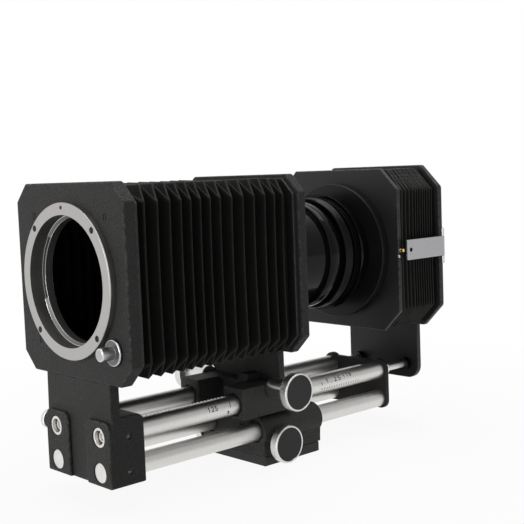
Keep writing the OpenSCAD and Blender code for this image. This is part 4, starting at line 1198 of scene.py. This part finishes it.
class MakeCollar(bpy.types.Operator):
    """Grip ring and grooved band of the hood's turned collar"""

    bl_idname = "bellows_unit.collar"
    bl_label = "Collar"

    def execute(self, context):
        under = GRIP_INSIDE - 0.001

        def box(node):
            low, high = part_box(node)
            return low.x + STATION, high.x + STATION, (high.y - low.y) / 2

        def add(name, node, low, high, outer, rounding, sides=180, teeth=0, knurl=0.0):
            """Closes the outer profile over a cylinder inside the part, from low to high."""
            corners = [(under, low, 0), *outer, (under, high, 0), (under, low, 0)]
            shape = rounded_profile(corners, rounding, 4)[:-1]
            add_turned(name, node, "gloss_black", 35, shape, sides, "x", (-STATION, 0, AXIS_Z), teeth, knurl)

        a, b, r = box("collar_grip_ring")
        bulge = [(GRIP_INSIDE + (r - GRIP_INSIDE) * math.sin(t) ** 0.8, (a + b) / 2 - (b - a) / 2 * math.cos(t), 0)
                 for t in np.linspace(0, np.pi, 15)]
        add("grip_ring", "collar_grip_ring", a + 0.0002, b - 0.0002, bulge, 0.0001)

        a, b, r = box("collar_band")
        ribs, margin, groove, chamfer = 7, 0.0005, 0.00018, 0.0006
        grooves, ends = [], np.linspace(a + margin, b - margin, ribs + 1)
        for x0, x1 in zip(ends[:-1], ends[1:]):
            grooves += [(r - groove, x0, 0), (r, x0 * 0.7 + x1 * 0.3, 1), (r, x0 * 0.3 + x1 * 0.7, 1)]
        outer = [(r - chamfer, a, 0), *grooves, (r - chamfer, b, 0)]
        add("grooved_band", "collar_band", a, b, outer, 0.00005, 720, 180, 0.00014)
        return {"FINISHED"}


class MakeScale(bpy.types.Operator):
    """Lines and numbers engraved along the near upper tube"""

    bl_idname = "bellows_unit.scale"
    bl_label = "Tube scale"

    def execute(self, context):
        s = settings().scale
        radius = SCALE_RADIUS

        def tick(x, low, high):
            return [[(x, radius * math.radians(low)), (x, radius * math.radians(high))]]

        def number(text, x0, x1, low, high):
            """The text spread from station x0 to x1, standing between two angles round the tube."""
            width, foot = (x1 - x0) / len(text), radius * math.radians(low)
            tall = radius * math.radians(high) - foot
            return [[(x0 + width * (n + 0.15 + 1.15 * u), foot + tall * v) for u, v in stroke]
                    for n, mark in enumerate(text) for stroke in STROKES[mark]]

        lines = number("125", 0.0610, 0.0680, 8, 36) + tick(0.0762, 9, 41) + number("3", 0.0735, 0.0757, -28, -12)
        lines += tick(0.144, 6, 24) + number("1.25", 0.1470, 0.1600, 12, 40)
        lines += tick(0.1625, 24, 52) + number("16", 0.1640, 0.1688, 24, 52)
        for x in np.arange(0.144, 0.1751, s.step):
            lines += tick(x, -26, -17)
        points, faces = tube_strokes(lines, s.line, radius)
        piece = add_piece("scale_near", points, faces, "engraving", weld=False)
        turn_outwards(piece)
        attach(piece, "rails")
        return {"FINISHED"}


class MakeRivet(bpy.types.Operator):
    """Small round-headed rivet of the hood's rear plate, beside the latch stud"""

    bl_idname = "bellows_unit.rivet"
    bl_label = "Plate rivet"

    def execute(self, context):
        x, y, z, r = 0.186 - STATION, -0.0463, AXIS_Z - 0.0024, 0.00085
        dome = [(r * math.sin(t), y - 0.0001 - 0.0005 * math.cos(t), 0) for t in np.linspace(0, math.pi / 2, 8)]
        shape = np.array([*dome, (r, y + 0.0006, 0), (0.0, y + 0.0006, 0)])
        points, faces = turned(shape, 40, "y", (x, 0, z))
        piece = add_piece("plate_rivet", points, faces, "steel")
        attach(piece, "hood_rear")
        return {"FINISHED"}


class MakeSpring(bpy.types.Operator):
    """Spring of the release button, which shortens as the button goes in"""

    bl_idname = "bellows_unit.spring"
    bl_label = "Button spring"

    def execute(self, context):
        piece = finish_copy("button_spring", clean_copy("button_spring"), ["steel"], SHARP, rides=False)
        cross_joint(piece, "button_spring", "release_button", "rails")
        return {"FINISHED"}


class SIDEBAR_PT_bellows_unit(bpy.types.Panel):
    """Lists the stages of the build"""

    bl_label = "Bellows unit"
    bl_space_type = "VIEW_3D"
    bl_region_type = "UI"
    bl_category = "Bellows unit"

    def draw(self, context):
        for step in STEPS:
            self.layout.operator(step.bl_idname)


GROUPS = (StageSettings, BellowsSettings, HoodBellowsSettings, KnobSettings, EdgeSettings, ScaleSettings,
          FinishSettings, UnitSettings)
STEPS = (MakeStage, MakeFinishes, MakeBellows, RoundEdges, MakeHoodFrame, MakeKnobs, MakeCollar, MakeScale,
         MakeRivet, MakeSpring)


def register():
    for item in (*GROUPS, *STEPS, SIDEBAR_PT_bellows_unit):
        bpy.utils.register_class(item)
    bpy.types.Scene.bellows_unit = PointerProperty(type=UnitSettings)


def unregister():
    del bpy.types.Scene.bellows_unit
    for item in reversed((*GROUPS, *STEPS, SIDEBAR_PT_bellows_unit)):
        bpy.utils.unregister_class(item)


def main():
    register()
    for step in STEPS:
        getattr(bpy.ops.bellows_unit, step.bl_idname.split(".")[1])()


if __name__ == "__main__":
    main()
